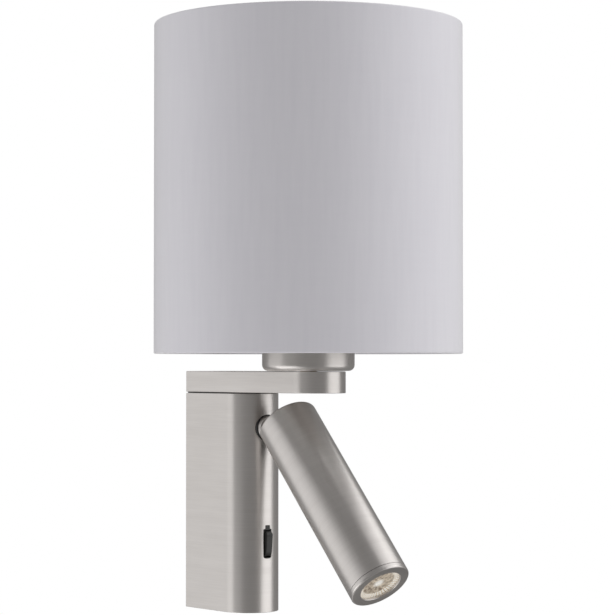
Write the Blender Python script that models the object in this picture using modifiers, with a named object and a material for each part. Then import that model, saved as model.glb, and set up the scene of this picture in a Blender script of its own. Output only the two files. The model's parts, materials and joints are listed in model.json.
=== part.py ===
"""Bedside wall lamp: a drum shade on a short arm, over a slim housing with a swivelling LED reading head.

Frame: metres, +Z up. The wall is the plane y = 0, the lamp stands out of it towards -Y, and the origin
is the middle of the wall bracket's back face. Run with: blender --background --python part.py
"""

import math

import bmesh
import bpy
from mathutils import Matrix, Vector

MM = 0.001
TURN = 2 * math.pi

# ---------------------------------------------------------------- driving dimensions
GAP = 0.3 * MM  # between two pieces that touch
RUNNING = 0.12 * MM  # round a shaft that turns in a hole

HOUSING_WIDTH = 35 * MM
HOUSING_DEPTH = 57.5 * MM
HOUSING_HEIGHT = 130 * MM
HOUSING_WALL = 1.8 * MM
END_PLATE = 1.5 * MM

ARM_SEAM = 0.7 * MM  # shadow gap between the housing and the arm
ARM_HEIGHT = 12.6 * MM
ARM_WALL = 2.0 * MM
ARM_PAST_LAMP = 6.5 * MM  # centre of the arm's round front end, beyond the lamp's axis
ARM_PLATE = 1.5 * MM
ARM_SCREW_R = 2.0 * MM
ARM_SCREW_LENGTH = 9 * MM
ARM_SCREW_HEAD_R = 3.8 * MM
ARM_SCREW_HEAD = 2.4 * MM
ARM_SCREWS_Y = (-14 * MM, -40 * MM)
ARM_CABLE_HOLE_R = 5 * MM
ARM_CABLE_HOLE_Y = -31 * MM

CUP_R = 27 * MM
CUP_HEIGHT = 22 * MM
CUP_WALL = 1.2 * MM
CUP_FILLET = 3.5 * MM
NIPPLE_R = 4.9 * MM
NIPPLE_BORE = 3.5 * MM
NIPPLE_IN_HOLDER = 8 * MM
NIPPLE_PAST_NUT = 0.5 * MM
NIPPLE_WASHER_R = 9 * MM
NIPPLE_WASHER = 1 * MM
NIPPLE_NUT_R = 8 * MM  # over its corners
NIPPLE_NUT = 3.5 * MM

HOLDER_R = 19.7 * MM  # threaded skirt
HOLDER_WALL = 2.2 * MM
HOLDER_BASE_HEIGHT = 20 * MM
HOLDER_FOOT_R = 14 * MM
HOLDER_FOOT_RISE = 6 * MM
HOLDER_FOOT_BEND = 1 * MM  # the floor's bend above the foot's, inside
HOLDER_CORE_DEPTH = 8 * MM  # in the base
HOLDER_CORE_RISE = 3 * MM  # into the skirt
HOLDER_SKIRT_HEIGHT = 36 * MM
SCREW_SHELL_R = 14.0 * MM
SCREW_SHELL_HEIGHT = 23 * MM
SCREW_SHELL_WALL = 0.4 * MM
CONTACT_R = 4 * MM
CONTACT_HEIGHT = 1.2 * MM
SHADE_NUT_RIM = 4 * MM  # round the skirt
SHADE_NUT_HEIGHT = 4 * MM

SHADE_R = 90 * MM
SHADE_HEIGHT = 192 * MM
SHADE_WALL_ROOM = 5 * MM  # between the drum and the wall
SHADE_OVER_ARM = 10.3 * MM  # shade's lower edge above the arm's top face
SHADE_SKIN = 0.8 * MM
SHADE_WIRE_R = 1.4 * MM
SHADE_SIDES = 64  # shared by the drum and its rings, so that their flats line up
SPIDER_LIFT = 26 * MM  # centre ring above the shade's lower edge
SPIDER_RING = 2.0 * MM
SPIDER_RING_RIM = 5.5 * MM  # round the skirt
SPIDER_ARMS = 3
SPIDER_ARM_R = 1.5 * MM
SPIDER_ARM_ROOT = 1 * MM  # of an arm sunk in the centre ring
SPIDER_ARM_BEND = 8 * MM  # level stretch at the centre ring
SPIDER_ARM_FOOT = 10 * MM  # flatter stretch at the foot wire
SPIDER_ARM_FOOT_RISE = 3 * MM

BULB_R = 30 * MM
BULB_CAP_R = 13.2 * MM
BULB_CAP_HEIGHT = 22 * MM
BULB_CAP_TAPER = 4 * MM
BULB_CAP_TOE_R = 8 * MM
BULB_TIP_R = 5 * MM
BULB_TIP = 1.5 * MM
BULB_NECK = 36 * MM  # from the screw cap to the middle of the globe
BULB_NECK_R = 24 * MM
BULB_GLOBE_DEPTH = 18 * MM  # of the globe below its middle
BULB_FOOT_R = 14 * MM
BULB_FLARE_R = 16 * MM  # where the body leaves the lampholder's skirt
BULB_FLARE_RISE = 1 * MM  # of that place above the skirt

SWIVEL_DROP = 20.5 * MM  # swivel's axis below the housing's top
SWIVEL_HOLE_R = 8.0 * MM
SWIVEL_BUSH_WALL = 0.5 * MM
SWIVEL_FLANGE_R = 10.5 * MM
SWIVEL_FLOOR = 2.5 * MM
SWIVEL_FLANGE_RIM = 0.5 * MM  # flange in front of the floor
SWIVEL_SLEEVE_FIT = 0.1 * MM
SWIVEL_SLEEVE_SINK = 0.2 * MM  # sleeve's front behind the housing's front
SWIVEL_PROUD = 2.5 * MM  # of the housing's front
SWIVEL_SHANK_R = 4.9 * MM
SWIVEL_BORE = 1.6 * MM
SWIVEL_CHAMFER = 0.8 * MM
SPRING_WASHER_R = 8 * MM
SPRING_WASHER = 0.8 * MM
SWIVEL_WASHER_R = 8.5 * MM
SWIVEL_WASHER = 1.0 * MM
SWIVEL_NUT_R = 8.5 * MM  # over its corners
SWIVEL_NUT = 4 * MM
SHANK_PAST_NUT = 2 * MM
SWIVEL_BORE_END = 1 * MM  # of the bore past the shank's end
TONGUE_THICK = 5.0 * MM
TONGUE_R = 5.5 * MM
TONGUE_ROOT = 2 * MM  # of the tongue sunk in the stem's boss
TONGUE_ROOM = 1.3 * MM  # round the tongue's end in the head
PIN_R = 2.0 * MM
WASHER_THICK = 0.5 * MM
WASHER_R = 4 * MM
WASHER_FIT = 0.15 * MM
PIN_END_ROOM = 4.2 * MM  # between the pin's end and the head's bore

HEAD_R = 18 * MM
HEAD_ROOM = 4.3 * MM  # between the housing and the head hanging along it
HEAD_SIDES = 40
HEAD_LENGTH = 123 * MM
HEAD_BACK = 6.6 * MM  # closed end beyond the tilt axis
HEAD_WALL = 1.6 * MM
HEAD_FILLET = 2.0 * MM
HEAD_END_WALL = 2 * MM
HEAD_FIT = 0.15 * MM  # round what slides into the head
HEAD_TILT = math.radians(42)  # from hanging straight down, towards the room
BEZEL_HEIGHT = 3.0 * MM
BEZEL_SEAM = 0.2 * MM
BEZEL_FACE = 5.65 * MM  # width of its end ring
BEZEL_LIP = 1.5 * MM
BEZEL_FILLET = 1.0 * MM
BEZEL_SPIGOT = 6.5 * MM
BEZEL_CHAMFER = 0.5 * MM
LENS_SEAT = 1.7 * MM  # of the lens behind the bezel's lip
LENS_FIT = 0.2 * MM
LENS_THICK = 1.8 * MM
GASKET_THICK = 0.6 * MM
REFLECTOR_DEPTH = 9.5 * MM
REFLECTOR_THROAT_R = 3.2 * MM
REFLECTOR_WALL = 0.6 * MM
REFLECTOR_RIM = 0.8 * MM
OPTICS_FIT = 0.1 * MM  # between the clamped pieces
BOARD_THICK = 1.6 * MM
BOARD_R = 10 * MM
CHIP_SIZE = 3.4 * MM
CHIP_HEIGHT = 1.2 * MM
HEAT_SINK_LENGTH = 60 * MM
HEAT_SINK_FINS = 5
HEAT_SINK_CORE_R = 9 * MM
PIVOT_BLOCK_DEPTH = 12 * MM  # below the tilt axis

SWITCH_RISE = 40.8 * MM  # middle of the switch above the housing's foot
SWITCH_WIDTH = 6.2 * MM
SWITCH_HEIGHT = 17.6 * MM
SWITCH_KEY_WIDTH = 3.6 * MM
SWITCH_KEY_HEIGHT = 2.2 * MM
SWITCH_DEPTH = 14 * MM
SWITCH_WALL = 0.55 * MM
SWITCH_FLOOR = 4 * MM
SWITCH_TAB_STEP = 1 * MM  # of the tab's back in front of the body's
SWITCH_FIT = 0.15 * MM  # round the body in its slot
TERMINAL_BLADE = (0.8 * MM, 6.2 * MM, 4 * MM)
TERMINAL_BLADE_SPACING = 10 * MM
SWITCH_SINK = 0.25 * MM  # frame's face behind the housing's front
ROCKER_PROUD = 1.8 * MM  # of the housing's front, when level
ROCKER_LEAN = math.radians(4.5)  # each way from level; the top stands out at rest
ROCKER_AXLE_SINK = 3.6 * MM
ROCKER_AXLE_R = 0.9 * MM
ROCKER_AXLE_FIT = 0.25 * MM  # at each end of the axle
ROCKER_SIDE_FIT = 0.2 * MM
ROCKER_END_FIT = 0.45 * MM
ROCKER_NOSE_R = 1.6 * MM
ROCKER_BACK = 2.2 * MM  # behind the axle
ROCKER_BACK_HALF = 3 * MM
ROCKER_SKIRT = 1.2 * MM  # in front of the axle, at its ends

BRACKET_SIDE_ROOM = 0.7 * MM  # in the housing, at each side
BRACKET_END_ROOM = 4 * MM  # below the housing's top and above its foot
BRACKET_PLATE = 1.5 * MM
BRACKET_FLANGE = 20 * MM
WALL_SLOT_INSETS = (7 * MM, 10 * MM)  # from the bracket's foot and from its top
WALL_SLOT_R = 2.3 * MM
WALL_SLOT_LENGTH = 9 * MM
CABLE_HOLE_R = 8 * MM
CABLE_HOLE_Z = 10 * MM
LOCK_SCREW_Y = -12 * MM
LOCK_SCREW_R = 1.5 * MM
LOCK_SCREW_LENGTH = 8 * MM
LOCK_SCREW_HEAD_R = 2.8 * MM
LOCK_SCREW_HEAD = 1.6 * MM
HOOK_REACH = 7 * MM
EARTH_SCREW_INSET = 4.5 * MM  # from the bracket's side
EARTH_SCREW_Z = 41 * MM
EARTH_SCREW_R = 1.4 * MM
EARTH_SCREW_LENGTH = 1.2 * MM
EARTH_SCREW_HEAD_R = 3.2 * MM
EARTH_SCREW_HEAD = 2.0 * MM

DRIVER_SIDE_ROOM = 2.7 * MM  # in the housing, at each side
DRIVER_DEPTH = 20 * MM
DRIVER_HEIGHT = 46 * MM
DRIVER_WALL = 1.2 * MM
DRIVER_Z = -24 * MM
TERMINAL_WAYS = 3
TERMINAL_PITCH = 8.5 * MM
TERMINAL_DEPTH = 13 * MM
TERMINAL_HEIGHT = 15 * MM
TERMINAL_Z = 28 * MM
TERMINAL_WELL_R = 2.2 * MM
TERMINAL_WELL_DEPTH = 4 * MM
TERMINAL_ENTRY_R = 1.7 * MM
TERMINAL_ENTRY_DEPTH = 6 * MM
TERMINAL_ENTRY_BACK = 7 * MM  # behind the block's front
TERMINAL_SCREW_R = 1.8 * MM
TERMINAL_SCREW_HEIGHT = 2.4 * MM
WIRE_R = 1.1 * MM
WIRE_END = 0.5 * MM  # between a lead's end and the piece that it serves

# ---------------------------------------------------------------- places worked out from them
HALF_WIDTH = HOUSING_WIDTH / 2
HOUSING_TOP = HOUSING_HEIGHT / 2
HOUSING_NOSE_Y = -(HOUSING_DEPTH - HALF_WIDTH)  # centre of the housing's round front
HOUSING_INNER = HALF_WIDTH - HOUSING_WALL
SWIVEL_Z = HOUSING_TOP - SWIVEL_DROP
SWITCH_Z = SWITCH_RISE - HOUSING_TOP
BRACKET_HALF_WIDTH = HOUSING_INNER - BRACKET_SIDE_ROOM
BRACKET_TOP = HOUSING_TOP - BRACKET_END_ROOM
WALL_SLOTS_Z = (WALL_SLOT_INSETS[0] - BRACKET_TOP, BRACKET_TOP - WALL_SLOT_INSETS[1])
EARTH_SCREW_X = BRACKET_HALF_WIDTH - EARTH_SCREW_INSET
LAMP_Y = -(SHADE_R + SHADE_WALL_ROOM)  # axis of the cup, the lampholder, the bulb and the shade
ARM_NOSE_Y = LAMP_Y - ARM_PAST_LAMP
ARM_BOTTOM = HOUSING_TOP + ARM_SEAM
ARM_TOP = ARM_BOTTOM + ARM_HEIGHT
CUP_BOTTOM = ARM_TOP + GAP
CUP_FLOOR = CUP_BOTTOM + CUP_WALL
SHADE_BOTTOM = ARM_TOP + SHADE_OVER_ARM
SHADE_TOP = SHADE_BOTTOM + SHADE_HEIGHT
SHADE_WIRE_AT = SHADE_R - SHADE_SKIN - GAP - SHADE_WIRE_R
SPIDER_Z = SHADE_BOTTOM + SPIDER_LIFT
HOLDER_BASE_Z = CUP_FLOOR + GAP
HOLDER_SKIRT_Z = HOLDER_BASE_Z + HOLDER_BASE_HEIGHT + GAP
PIVOT_Y = -HOUSING_DEPTH - HEAD_R - HEAD_ROOM
HEAD_END = HEAD_BACK - HEAD_LENGTH
HEAD_SEAM = HEAD_END + BEZEL_HEIGHT
HEAD_BORE = HEAD_R - HEAD_WALL
BEZEL_OPENING_R = HEAD_R - BEZEL_FACE
ROCKER_Y = -HOUSING_DEPTH + ROCKER_AXLE_SINK
SWITCH_LOW = SWITCH_Z - SWITCH_HEIGHT / 2
SWITCH_HIGH = SWITCH_Z + SWITCH_HEIGHT / 2
HOLDER_SKIRT_TOP = HOLDER_SKIRT_Z + HOLDER_SKIRT_HEIGHT
LAMP_AXIS = (0, LAMP_Y, 0)
HOLDER_CORE_Z = HOLDER_BASE_Z + HOLDER_BASE_HEIGHT - HOLDER_CORE_DEPTH
ELECTRICS_BACK = -BRACKET_PLATE - GAP
DRIVER_TOP = DRIVER_Z + DRIVER_HEIGHT / 2
TERMINAL_LOW = TERMINAL_Z - TERMINAL_HEIGHT / 2
TERMINAL_FRONT = ELECTRICS_BACK - TERMINAL_DEPTH
TERMINAL_ENTRY_Y = TERMINAL_FRONT + TERMINAL_ENTRY_BACK
BLADE_LOW_Y = -HOUSING_DEPTH + SWITCH_SINK + SWITCH_DEPTH + GAP
DRILL_LENGTH = 20 * MM

# ---------------------------------------------------------------- scene and materials
for old in list(bpy.data.objects):
    bpy.data.objects.remove(old, do_unlink=True)

LAMP = bpy.data.collections.new("bedside_wall_lamp")
CUTTERS = bpy.data.collections.new("cutters")
for group in (LAMP, CUTTERS):
    bpy.context.scene.collection.children.link(group)


def material(name, colour, roughness, metallic=0.0):
    made = bpy.data.materials.new(name)
    made.use_nodes = True
    shader = made.node_tree.nodes["Principled BSDF"]
    shader.inputs["Base Color"].default_value = (*colour, 1)
    shader.inputs["Roughness"].default_value = roughness
    shader.inputs["Metallic"].default_value = metallic
    made.diffuse_color = (*colour, 1)
    return made


NICKEL = material("satin_nickel", (0.60, 0.58, 0.56), 0.35, 1.0)
STEEL = material("zinc_plated_steel", (0.66, 0.67, 0.68), 0.4, 1.0)
BRASS = material("brass", (0.78, 0.62, 0.32), 0.35, 1.0)
ALUMINIUM = material("aluminium", (0.75, 0.76, 0.77), 0.4, 1.0)
BLACK = material("black_plastic", (0.02, 0.02, 0.02), 0.45)
WHITE = material("white_plastic", (0.86, 0.86, 0.84), 0.4)
CERAMIC = material("ceramic", (0.88, 0.86, 0.82), 0.3)
FABRIC = material("shade_fabric", (0.88, 0.875, 0.90), 0.9)
WHITE_WIRE = material("white_coated_wire", (0.84, 0.84, 0.83), 0.5)
OPAL = material("opal_glass", (0.93, 0.93, 0.91), 0.25)
CLEAR = material("clear_lens", (0.90, 0.92, 0.92), 0.05)
MIRROR = material("metallised_reflector", (0.85, 0.82, 0.76), 0.12, 1.0)
PHOSPHOR = material("led_phosphor", (0.85, 0.68, 0.16), 0.4)
BOARD = material("circuit_board", (0.90, 0.90, 0.88), 0.5)
BROWN_WIRE = material("brown_wire", (0.20, 0.08, 0.04), 0.5)
BLUE_WIRE = material("blue_wire", (0.04, 0.12, 0.45), 0.5)


# ---------------------------------------------------------------- modelling helpers
def place(name, data, paint=None, at=(0, 0, 0), turn=(0, 0, 0), on=None):
    """A new object of the lamp, or a cutter where it has no material. `on` is the empty it hangs from."""
    made = bpy.data.objects.new(name, data)
    (LAMP if paint else CUTTERS).objects.link(made)
    made.location = at
    made.rotation_euler = turn
    made.parent = on
    if paint:
        data.materials.append(paint)
    else:
        made.hide_render = True
        made.display_type = "WIRE"
    return made


def joint_empty(name, at, turn=(0, 0, 0), on=None):
    made = bpy.data.objects.new(name, None)
    LAMP.objects.link(made)
    made.location = at
    made.rotation_euler = turn
    made.parent = on
    return made


def mesh_from(name, shape):
    """A mesh from a bmesh, shaded smooth with its corners kept sharp."""
    bmesh.ops.recalc_face_normals(shape, faces=shape.faces)
    data = bpy.data.meshes.new(name)
    shape.to_mesh(data)
    shape.free()
    data.shade_smooth()
    data.set_sharp_from_angle(angle=math.radians(35))
    return data


def box(name, low, high, paint=None, on=None):
    """A block between two opposite corners."""
    low, high = Vector(low), Vector(high)
    shape = bmesh.new()
    bmesh.ops.create_cube(shape, size=1, matrix=Matrix.Diagonal((*(high - low), 1)))
    return place(name, mesh_from(name, shape), paint, (low + high) / 2, on=on)


AXIS_TURN = {"X": (0, TURN / 4, 0), "Y": (TURN / 4, 0, 0), "Z": (0, 0, 0)}
TOWARDS_ROOM = (TURN / 4, 0, 0)  # turns a piece's +Z to -Y
TOWARDS_WALL = (-TURN / 4, 0, 0)


def cylinder(name, radius, length, at, axis="Z", paint=None, on=None, sides=32):
    """A round bar about its middle, along an axis."""
    shape = bmesh.new()
    bmesh.ops.create_cone(
        shape, cap_ends=True, segments=sides, radius1=radius, radius2=radius, depth=length
    )
    return place(name, mesh_from(name, shape), paint, at, AXIS_TURN[axis], on)


def turned(name, profile, paint=None, at=(0, 0, 0), turn=(0, 0, 0), on=None, steps=32, ring=False):
    """A turned piece about its own Z: profile holds (radius, z) down the outside; a ring's also closes."""
    data = bpy.data.meshes.new(name)
    points = [(radius, 0, z) for radius, z in profile]
    edges = [(i, i + 1) for i in range(len(points) - 1)]
    if ring:
        edges.append((len(points) - 1, 0))
    data.from_pydata(points, edges, [])
    made = place(name, data, paint, at, turn, on)
    screw = made.modifiers.new("turn", "SCREW")
    screw.axis = "Z"
    screw.angle = TURN
    screw.steps = screw.render_steps = steps
    screw.use_merge_vertices = True
    screw.merge_threshold = 0.00001
    screw.use_smooth_shade = False
    return made


def tube(name, outer, inner, low, high, paint, at=(0, 0, 0), turn=(0, 0, 0), on=None, steps=24):
    """A plain round sleeve or washer between two heights."""
    profile = [(outer, high), (outer, low), (inner, low), (inner, high)]
    return turned(name, profile, paint, at, turn, on, steps, ring=True)


def bar(name, radius, low, high, paint, at=(0, 0, 0), on=None, steps=24):
    """A plain round disc or bar between two heights."""
    return turned(name, [(0, high), (radius, high), (radius, low), (0, low)], paint, at, on=on, steps=steps)


def fillet(centre, radius, start, end, steps=4):
    """Points of an arc in (radius, z), or in (x, y), between two angles in degrees."""
    angles = [math.radians(start + (end - start) * i / steps) for i in range(steps + 1)]
    return [(centre[0] + radius * math.cos(a), centre[1] + radius * math.sin(a)) for a in angles]


def as_mesh(curve):
    """The curve object made a mesh object of the same name and place, its caps welded."""
    bpy.context.view_layer.update()
    graph = bpy.context.evaluated_depsgraph_get()
    data = bpy.data.meshes.new_from_object(curve.evaluated_get(graph))
    shape = bmesh.new()
    shape.from_mesh(data)
    bmesh.ops.remove_doubles(shape, verts=shape.verts, dist=0.00001)
    bmesh.ops.recalc_face_normals(shape, faces=shape.faces)
    shape.to_mesh(data)
    shape.free()
    made = bpy.data.objects.new(curve.name + "_mesh", data)
    for group in curve.users_collection:
        group.objects.link(made)
    made.matrix_world = curve.matrix_world
    made.hide_render = curve.hide_render
    made.display_type = curve.display_type
    name = curve.name
    bpy.data.objects.remove(curve)
    made.name = name
    return made


def flat(name, outline, low, high, paint=None, on=None):
    """A flat piece of that (x, y) outline between two heights, as a mesh."""
    data = bpy.data.curves.new(name, "CURVE")
    data.dimensions = "2D"
    data.fill_mode = "BOTH"
    data.extrude = (high - low) / 2
    spline = data.splines.new("POLY")
    spline.points.add(len(outline) - 1)
    for point, (x, y) in zip(spline.points, outline):
        point.co = (x, y, 0, 1)
    spline.use_cyclic_u = True
    return as_mesh(place(name, data, paint, (0, 0, (low + high) / 2), on=on))


def wire(name, points, radius, paint=None, cyclic=False, sides=2):
    """A round wire from point to point."""
    data = bpy.data.curves.new(name, "CURVE")
    data.dimensions = "3D"
    data.bevel_depth = radius
    data.bevel_resolution = sides
    data.use_fill_caps = not cyclic
    spline = data.splines.new("POLY")
    spline.points.add(len(points) - 1)
    for point, where in zip(spline.points, points):
        point.co = (*where, 1)
    spline.use_cyclic_u = cyclic
    return place(name, data, paint)


def smooth_route(points, each=4):
    """A Catmull-Rom curve through the points, `each` steps between two of them."""
    points = [Vector(point) for point in points]
    ends = [2 * points[0] - points[1]] + points + [2 * points[-1] - points[-2]]
    route = []
    for a, b, c, d in zip(ends, ends[1:], ends[2:], ends[3:]):
        for i in range(each):
            t = i / each
            route.append(
                0.5
                * (2 * b + (c - a) * t + (2 * a - 5 * b + 4 * c - d) * t**2 + (3 * b - a - 3 * c + d) * t**3)
            )
    return route + [points[-1]]


def join(target, tool, operation="DIFFERENCE"):
    step = target.modifiers.new(tool.name, "BOOLEAN")
    step.object = tool
    step.operation = operation
    step.solver = "EXACT"
    return target


def round_front(half_width, nose_y, back_y, steps=24):
    """An outline with straight sides from back_y and a half-round front about nose_y."""
    return [(half_width, back_y), *fillet((0, nose_y), half_width, 0, -180, steps), (-half_width, back_y)]


def circle(x, y, radius, steps):
    return fillet((x, y), radius, 0, 360 - 360 / steps, steps - 1)


# ---------------------------------------------------------------- housing
def make_housing():
    """The U-shaped shell, open at the wall, with its two end plates."""
    path = round_front(HALF_WIDTH, HOUSING_NOSE_Y, 0)
    data = bpy.data.curves.new("housing_shell", "CURVE")
    data.dimensions = "3D"
    data.extrude = HOUSING_TOP
    spline = data.splines.new("POLY")
    spline.points.add(len(path) - 1)
    for point, (x, y) in zip(spline.points, path):
        point.co = (x, y, 0, 1)
    shell = as_mesh(place("housing_shell", data, NICKEL))
    skin = shell.modifiers.new("wall", "SOLIDIFY")
    skin.thickness = HOUSING_WALL
    skin.offset = -1
    skin.use_even_offset = True

    through = 2 * (SWIVEL_HOLE_R + HOUSING_WALL)
    join(shell, cylinder("swivel_hole", SWIVEL_HOLE_R, through, (0, -HOUSING_DEPTH, SWIVEL_Z), "Y"))
    slot = front_block("switch_slot", SWITCH_WIDTH / 2, SWITCH_LOW, SWITCH_HIGH, 3 * HOUSING_WALL)
    low, high = SWITCH_HIGH - HOUSING_WALL, SWITCH_HIGH + SWITCH_KEY_HEIGHT
    key = front_block("switch_key", SWITCH_KEY_WIDTH / 2, low, high, 2 * HOUSING_WALL)
    join(slot, key, "UNION")
    join(shell, slot)

    inside = round_front(HOUSING_INNER - GAP, HOUSING_NOSE_Y, -BRACKET_PLATE - GAP)
    top = flat("housing_top_plate", inside, HOUSING_TOP - END_PLATE, HOUSING_TOP, STEEL)
    drill(top, "top_cable_hole", ARM_CABLE_HOLE_R, (0, ARM_CABLE_HOLE_Y, HOUSING_TOP))
    for i, y in enumerate(ARM_SCREWS_Y, 1):
        drill(top, f"top_screw_hole_{i}", ARM_SCREW_R + GAP, (0, y, HOUSING_TOP))
    cap = flat("housing_bottom_cap", inside, -HOUSING_TOP, -HOUSING_TOP + END_PLATE, NICKEL)
    drill(cap, "lock_hole", LOCK_SCREW_R + GAP, (0, LOCK_SCREW_Y, -HOUSING_TOP))


def front_block(name, half, low, high, reach):
    """A cutter through the housing's front, as deep on both sides of it as `reach`."""
    return box(name, (-half, -HOUSING_DEPTH - reach, low), (half, -HOUSING_DEPTH + reach, high))


def drill(piece, name, radius, at, axis="Z"):
    """A small hole through a plate a few millimetres thick."""
    join(piece, cylinder(name, radius, DRILL_LENGTH, at, axis, sides=20))


def make_screw(name, at, sizes, paint, turn=(0, 0, 0)):
    """A pan-head screw along +Z, its head's inner face at `at`."""
    radius, length, head_r, head = sizes
    socket, sunk = head_r * 0.45, head * 0.5
    tip = radius * 0.2
    profile = [
        (0, length),
        (radius - tip, length),
        (radius, length - tip),
        (radius, 0),
        (head_r, 0),
        (head_r, -head * 0.6),
        (head_r * 0.8, -head),
        (socket, -head),
        (socket, -head + sunk),
        (0, -head + sunk),
    ]
    return turned(name, profile, paint, at, turn, steps=12)


def make_bracket():
    """The steel wall bracket: a slotted plate with a foot for the locking screw and a hook at its top."""
    half, top = BRACKET_HALF_WIDTH, BRACKET_TOP
    inside = -BRACKET_PLATE / 2
    plate = box("wall_bracket", (-half, -BRACKET_PLATE, -top), (half, 0, top), STEEL)
    foot = box("bracket_foot", (-half, -BRACKET_FLANGE, -top), (half, inside, -top + BRACKET_PLATE))
    hook = box("bracket_hook", (-half, -HOOK_REACH, top - BRACKET_PLATE), (half, inside, top))
    join(plate, foot, "UNION")
    join(plate, hook, "UNION")
    join(plate, cylinder("cable_hole", CABLE_HOLE_R, DRILL_LENGTH, (0, 0, CABLE_HOLE_Z), "Y"))
    run = WALL_SLOT_LENGTH / 2 - WALL_SLOT_R
    ends = fillet((run, 0), WALL_SLOT_R, -90, 90, 8) + fillet((-run, 0), WALL_SLOT_R, 90, 270, 8)
    for i, z in enumerate(WALL_SLOTS_Z, 1):
        slot = flat(f"wall_slot_{i}", ends, -DRILL_LENGTH / 2, DRILL_LENGTH / 2)
        slot.rotation_euler = AXIS_TURN["Y"]
        slot.location = (0, 0, z)
        join(plate, slot)
    drill(plate, "lock_thread", LOCK_SCREW_R + GAP, (0, LOCK_SCREW_Y, -top))
    drill(plate, "earth_hole", EARTH_SCREW_R + GAP, (EARTH_SCREW_X, 0, EARTH_SCREW_Z), "Y")

    sizes = (LOCK_SCREW_R, LOCK_SCREW_LENGTH, LOCK_SCREW_HEAD_R, LOCK_SCREW_HEAD)
    make_screw("bracket_lock_screw", (0, LOCK_SCREW_Y, -HOUSING_TOP - GAP), sizes, NICKEL)
    sizes = (EARTH_SCREW_R, EARTH_SCREW_LENGTH, EARTH_SCREW_HEAD_R, EARTH_SCREW_HEAD)
    at = (EARTH_SCREW_X, -BRACKET_PLATE - GAP, EARTH_SCREW_Z)
    make_screw("earth_screw", at, sizes, BRASS, TOWARDS_WALL)


def make_electrics():
    """The LED driver and the mains terminal block behind the housing's front."""
    half = HOUSING_INNER - DRIVER_SIDE_ROOM
    back = ELECTRICS_BACK
    front = back - DRIVER_DEPTH
    low, high = DRIVER_TOP - DRIVER_HEIGHT, DRIVER_TOP
    case = box("driver_case", (-half, front + DRIVER_WALL + GAP, low), (half, back, high), WHITE)
    room = box(
        "driver_room",
        (-half + DRIVER_WALL, front - DRIVER_WALL, low + DRIVER_WALL),
        (half - DRIVER_WALL, back - DRIVER_WALL, high - DRIVER_WALL),
    )
    join(case, room)
    box("driver_lid", (-half, front, low), (half, front + DRIVER_WALL, high), WHITE)

    half = TERMINAL_WAYS * TERMINAL_PITCH / 2
    front, low = TERMINAL_FRONT, TERMINAL_LOW
    block = box("terminal_block", (-half, front, low), (half, back, low + TERMINAL_HEIGHT), WHITE)
    for i in range(1, TERMINAL_WAYS + 1):
        x = terminal_x(i)
        well, entry = 2 * TERMINAL_WELL_DEPTH, 2 * TERMINAL_ENTRY_DEPTH
        at = (x, front, TERMINAL_Z)
        join(block, cylinder(f"terminal_well_{i}", TERMINAL_WELL_R, well, at, "Y", sides=20))
        at = (x, TERMINAL_ENTRY_Y, low)
        join(block, cylinder(f"terminal_entry_{i}", TERMINAL_ENTRY_R, entry, at, sides=16))
        at = (x, front + TERMINAL_SCREW_HEIGHT, TERMINAL_Z)
        cylinder(f"terminal_screw_{i}", TERMINAL_SCREW_R, TERMINAL_SCREW_HEIGHT, at, "Y", BRASS, sides=16)


def terminal_x(way):
    """Middle of one of the terminals, counted from the left."""
    return (way - (TERMINAL_WAYS + 1) / 2) * TERMINAL_PITCH


# ---------------------------------------------------------------- arm
def make_arm():
    """The hollow arm: an inverted tray on the housing, closed from below by a plate."""
    outline = round_front(HALF_WIDTH, ARM_NOSE_Y, 0)
    shell = flat("arm_shell", outline, ARM_BOTTOM, ARM_TOP, NICKEL)
    inner = round_front(HALF_WIDTH - ARM_WALL, ARM_NOSE_Y, -ARM_WALL)
    join(shell, flat("arm_room", inner, ARM_BOTTOM - ARM_WALL, ARM_TOP - ARM_WALL))
    join(shell, cylinder("arm_nipple_hole", NIPPLE_R + GAP, DRILL_LENGTH, (0, LAMP_Y, ARM_TOP)))

    lid = round_front(HALF_WIDTH - ARM_WALL - GAP, ARM_NOSE_Y, -ARM_WALL - GAP)
    plate = flat("arm_base_plate", lid, ARM_BOTTOM, ARM_BOTTOM + ARM_PLATE, NICKEL)
    drill(plate, "arm_cable_hole", ARM_CABLE_HOLE_R, (0, ARM_CABLE_HOLE_Y, ARM_BOTTOM))
    sizes = (ARM_SCREW_R, ARM_SCREW_LENGTH, ARM_SCREW_HEAD_R, ARM_SCREW_HEAD)
    for i, y in enumerate(ARM_SCREWS_Y, 1):
        drill(plate, f"arm_screw_hole_{i}", ARM_SCREW_R + GAP, (0, y, ARM_BOTTOM))
        make_screw(f"arm_screw_{i}", (0, y, HOUSING_TOP - END_PLATE - GAP), sizes, STEEL)


def make_nipple():
    """The hollow threaded tube that clamps the cup and the lampholder to the arm."""
    bore = NIPPLE_R + GAP
    washer = ARM_TOP - ARM_WALL - GAP - NIPPLE_WASHER
    tube("nipple_washer", NIPPLE_WASHER_R, bore, washer, washer + NIPPLE_WASHER, STEEL, LAMP_AXIS)
    nut = washer - GAP - NIPPLE_NUT
    hex_nut("nipple_nut", NIPPLE_NUT_R, NIPPLE_NUT, bore, (0, LAMP_Y, nut + NIPPLE_NUT / 2), "Z", BRASS)
    low, high = nut - NIPPLE_PAST_NUT, HOLDER_BASE_Z + NIPPLE_IN_HOLDER
    tube("holder_nipple", NIPPLE_R, NIPPLE_BORE, low, high, BRASS, LAMP_AXIS)


def hex_nut(name, radius, height, bore, at, axis, paint, on=None):
    nut = cylinder(name, radius, height, at, axis, paint, on, sides=6)
    nut.data.shade_flat()
    join(nut, cylinder(name + "_bore", bore, 3 * height, at, axis, on=on, sides=24))


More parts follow.
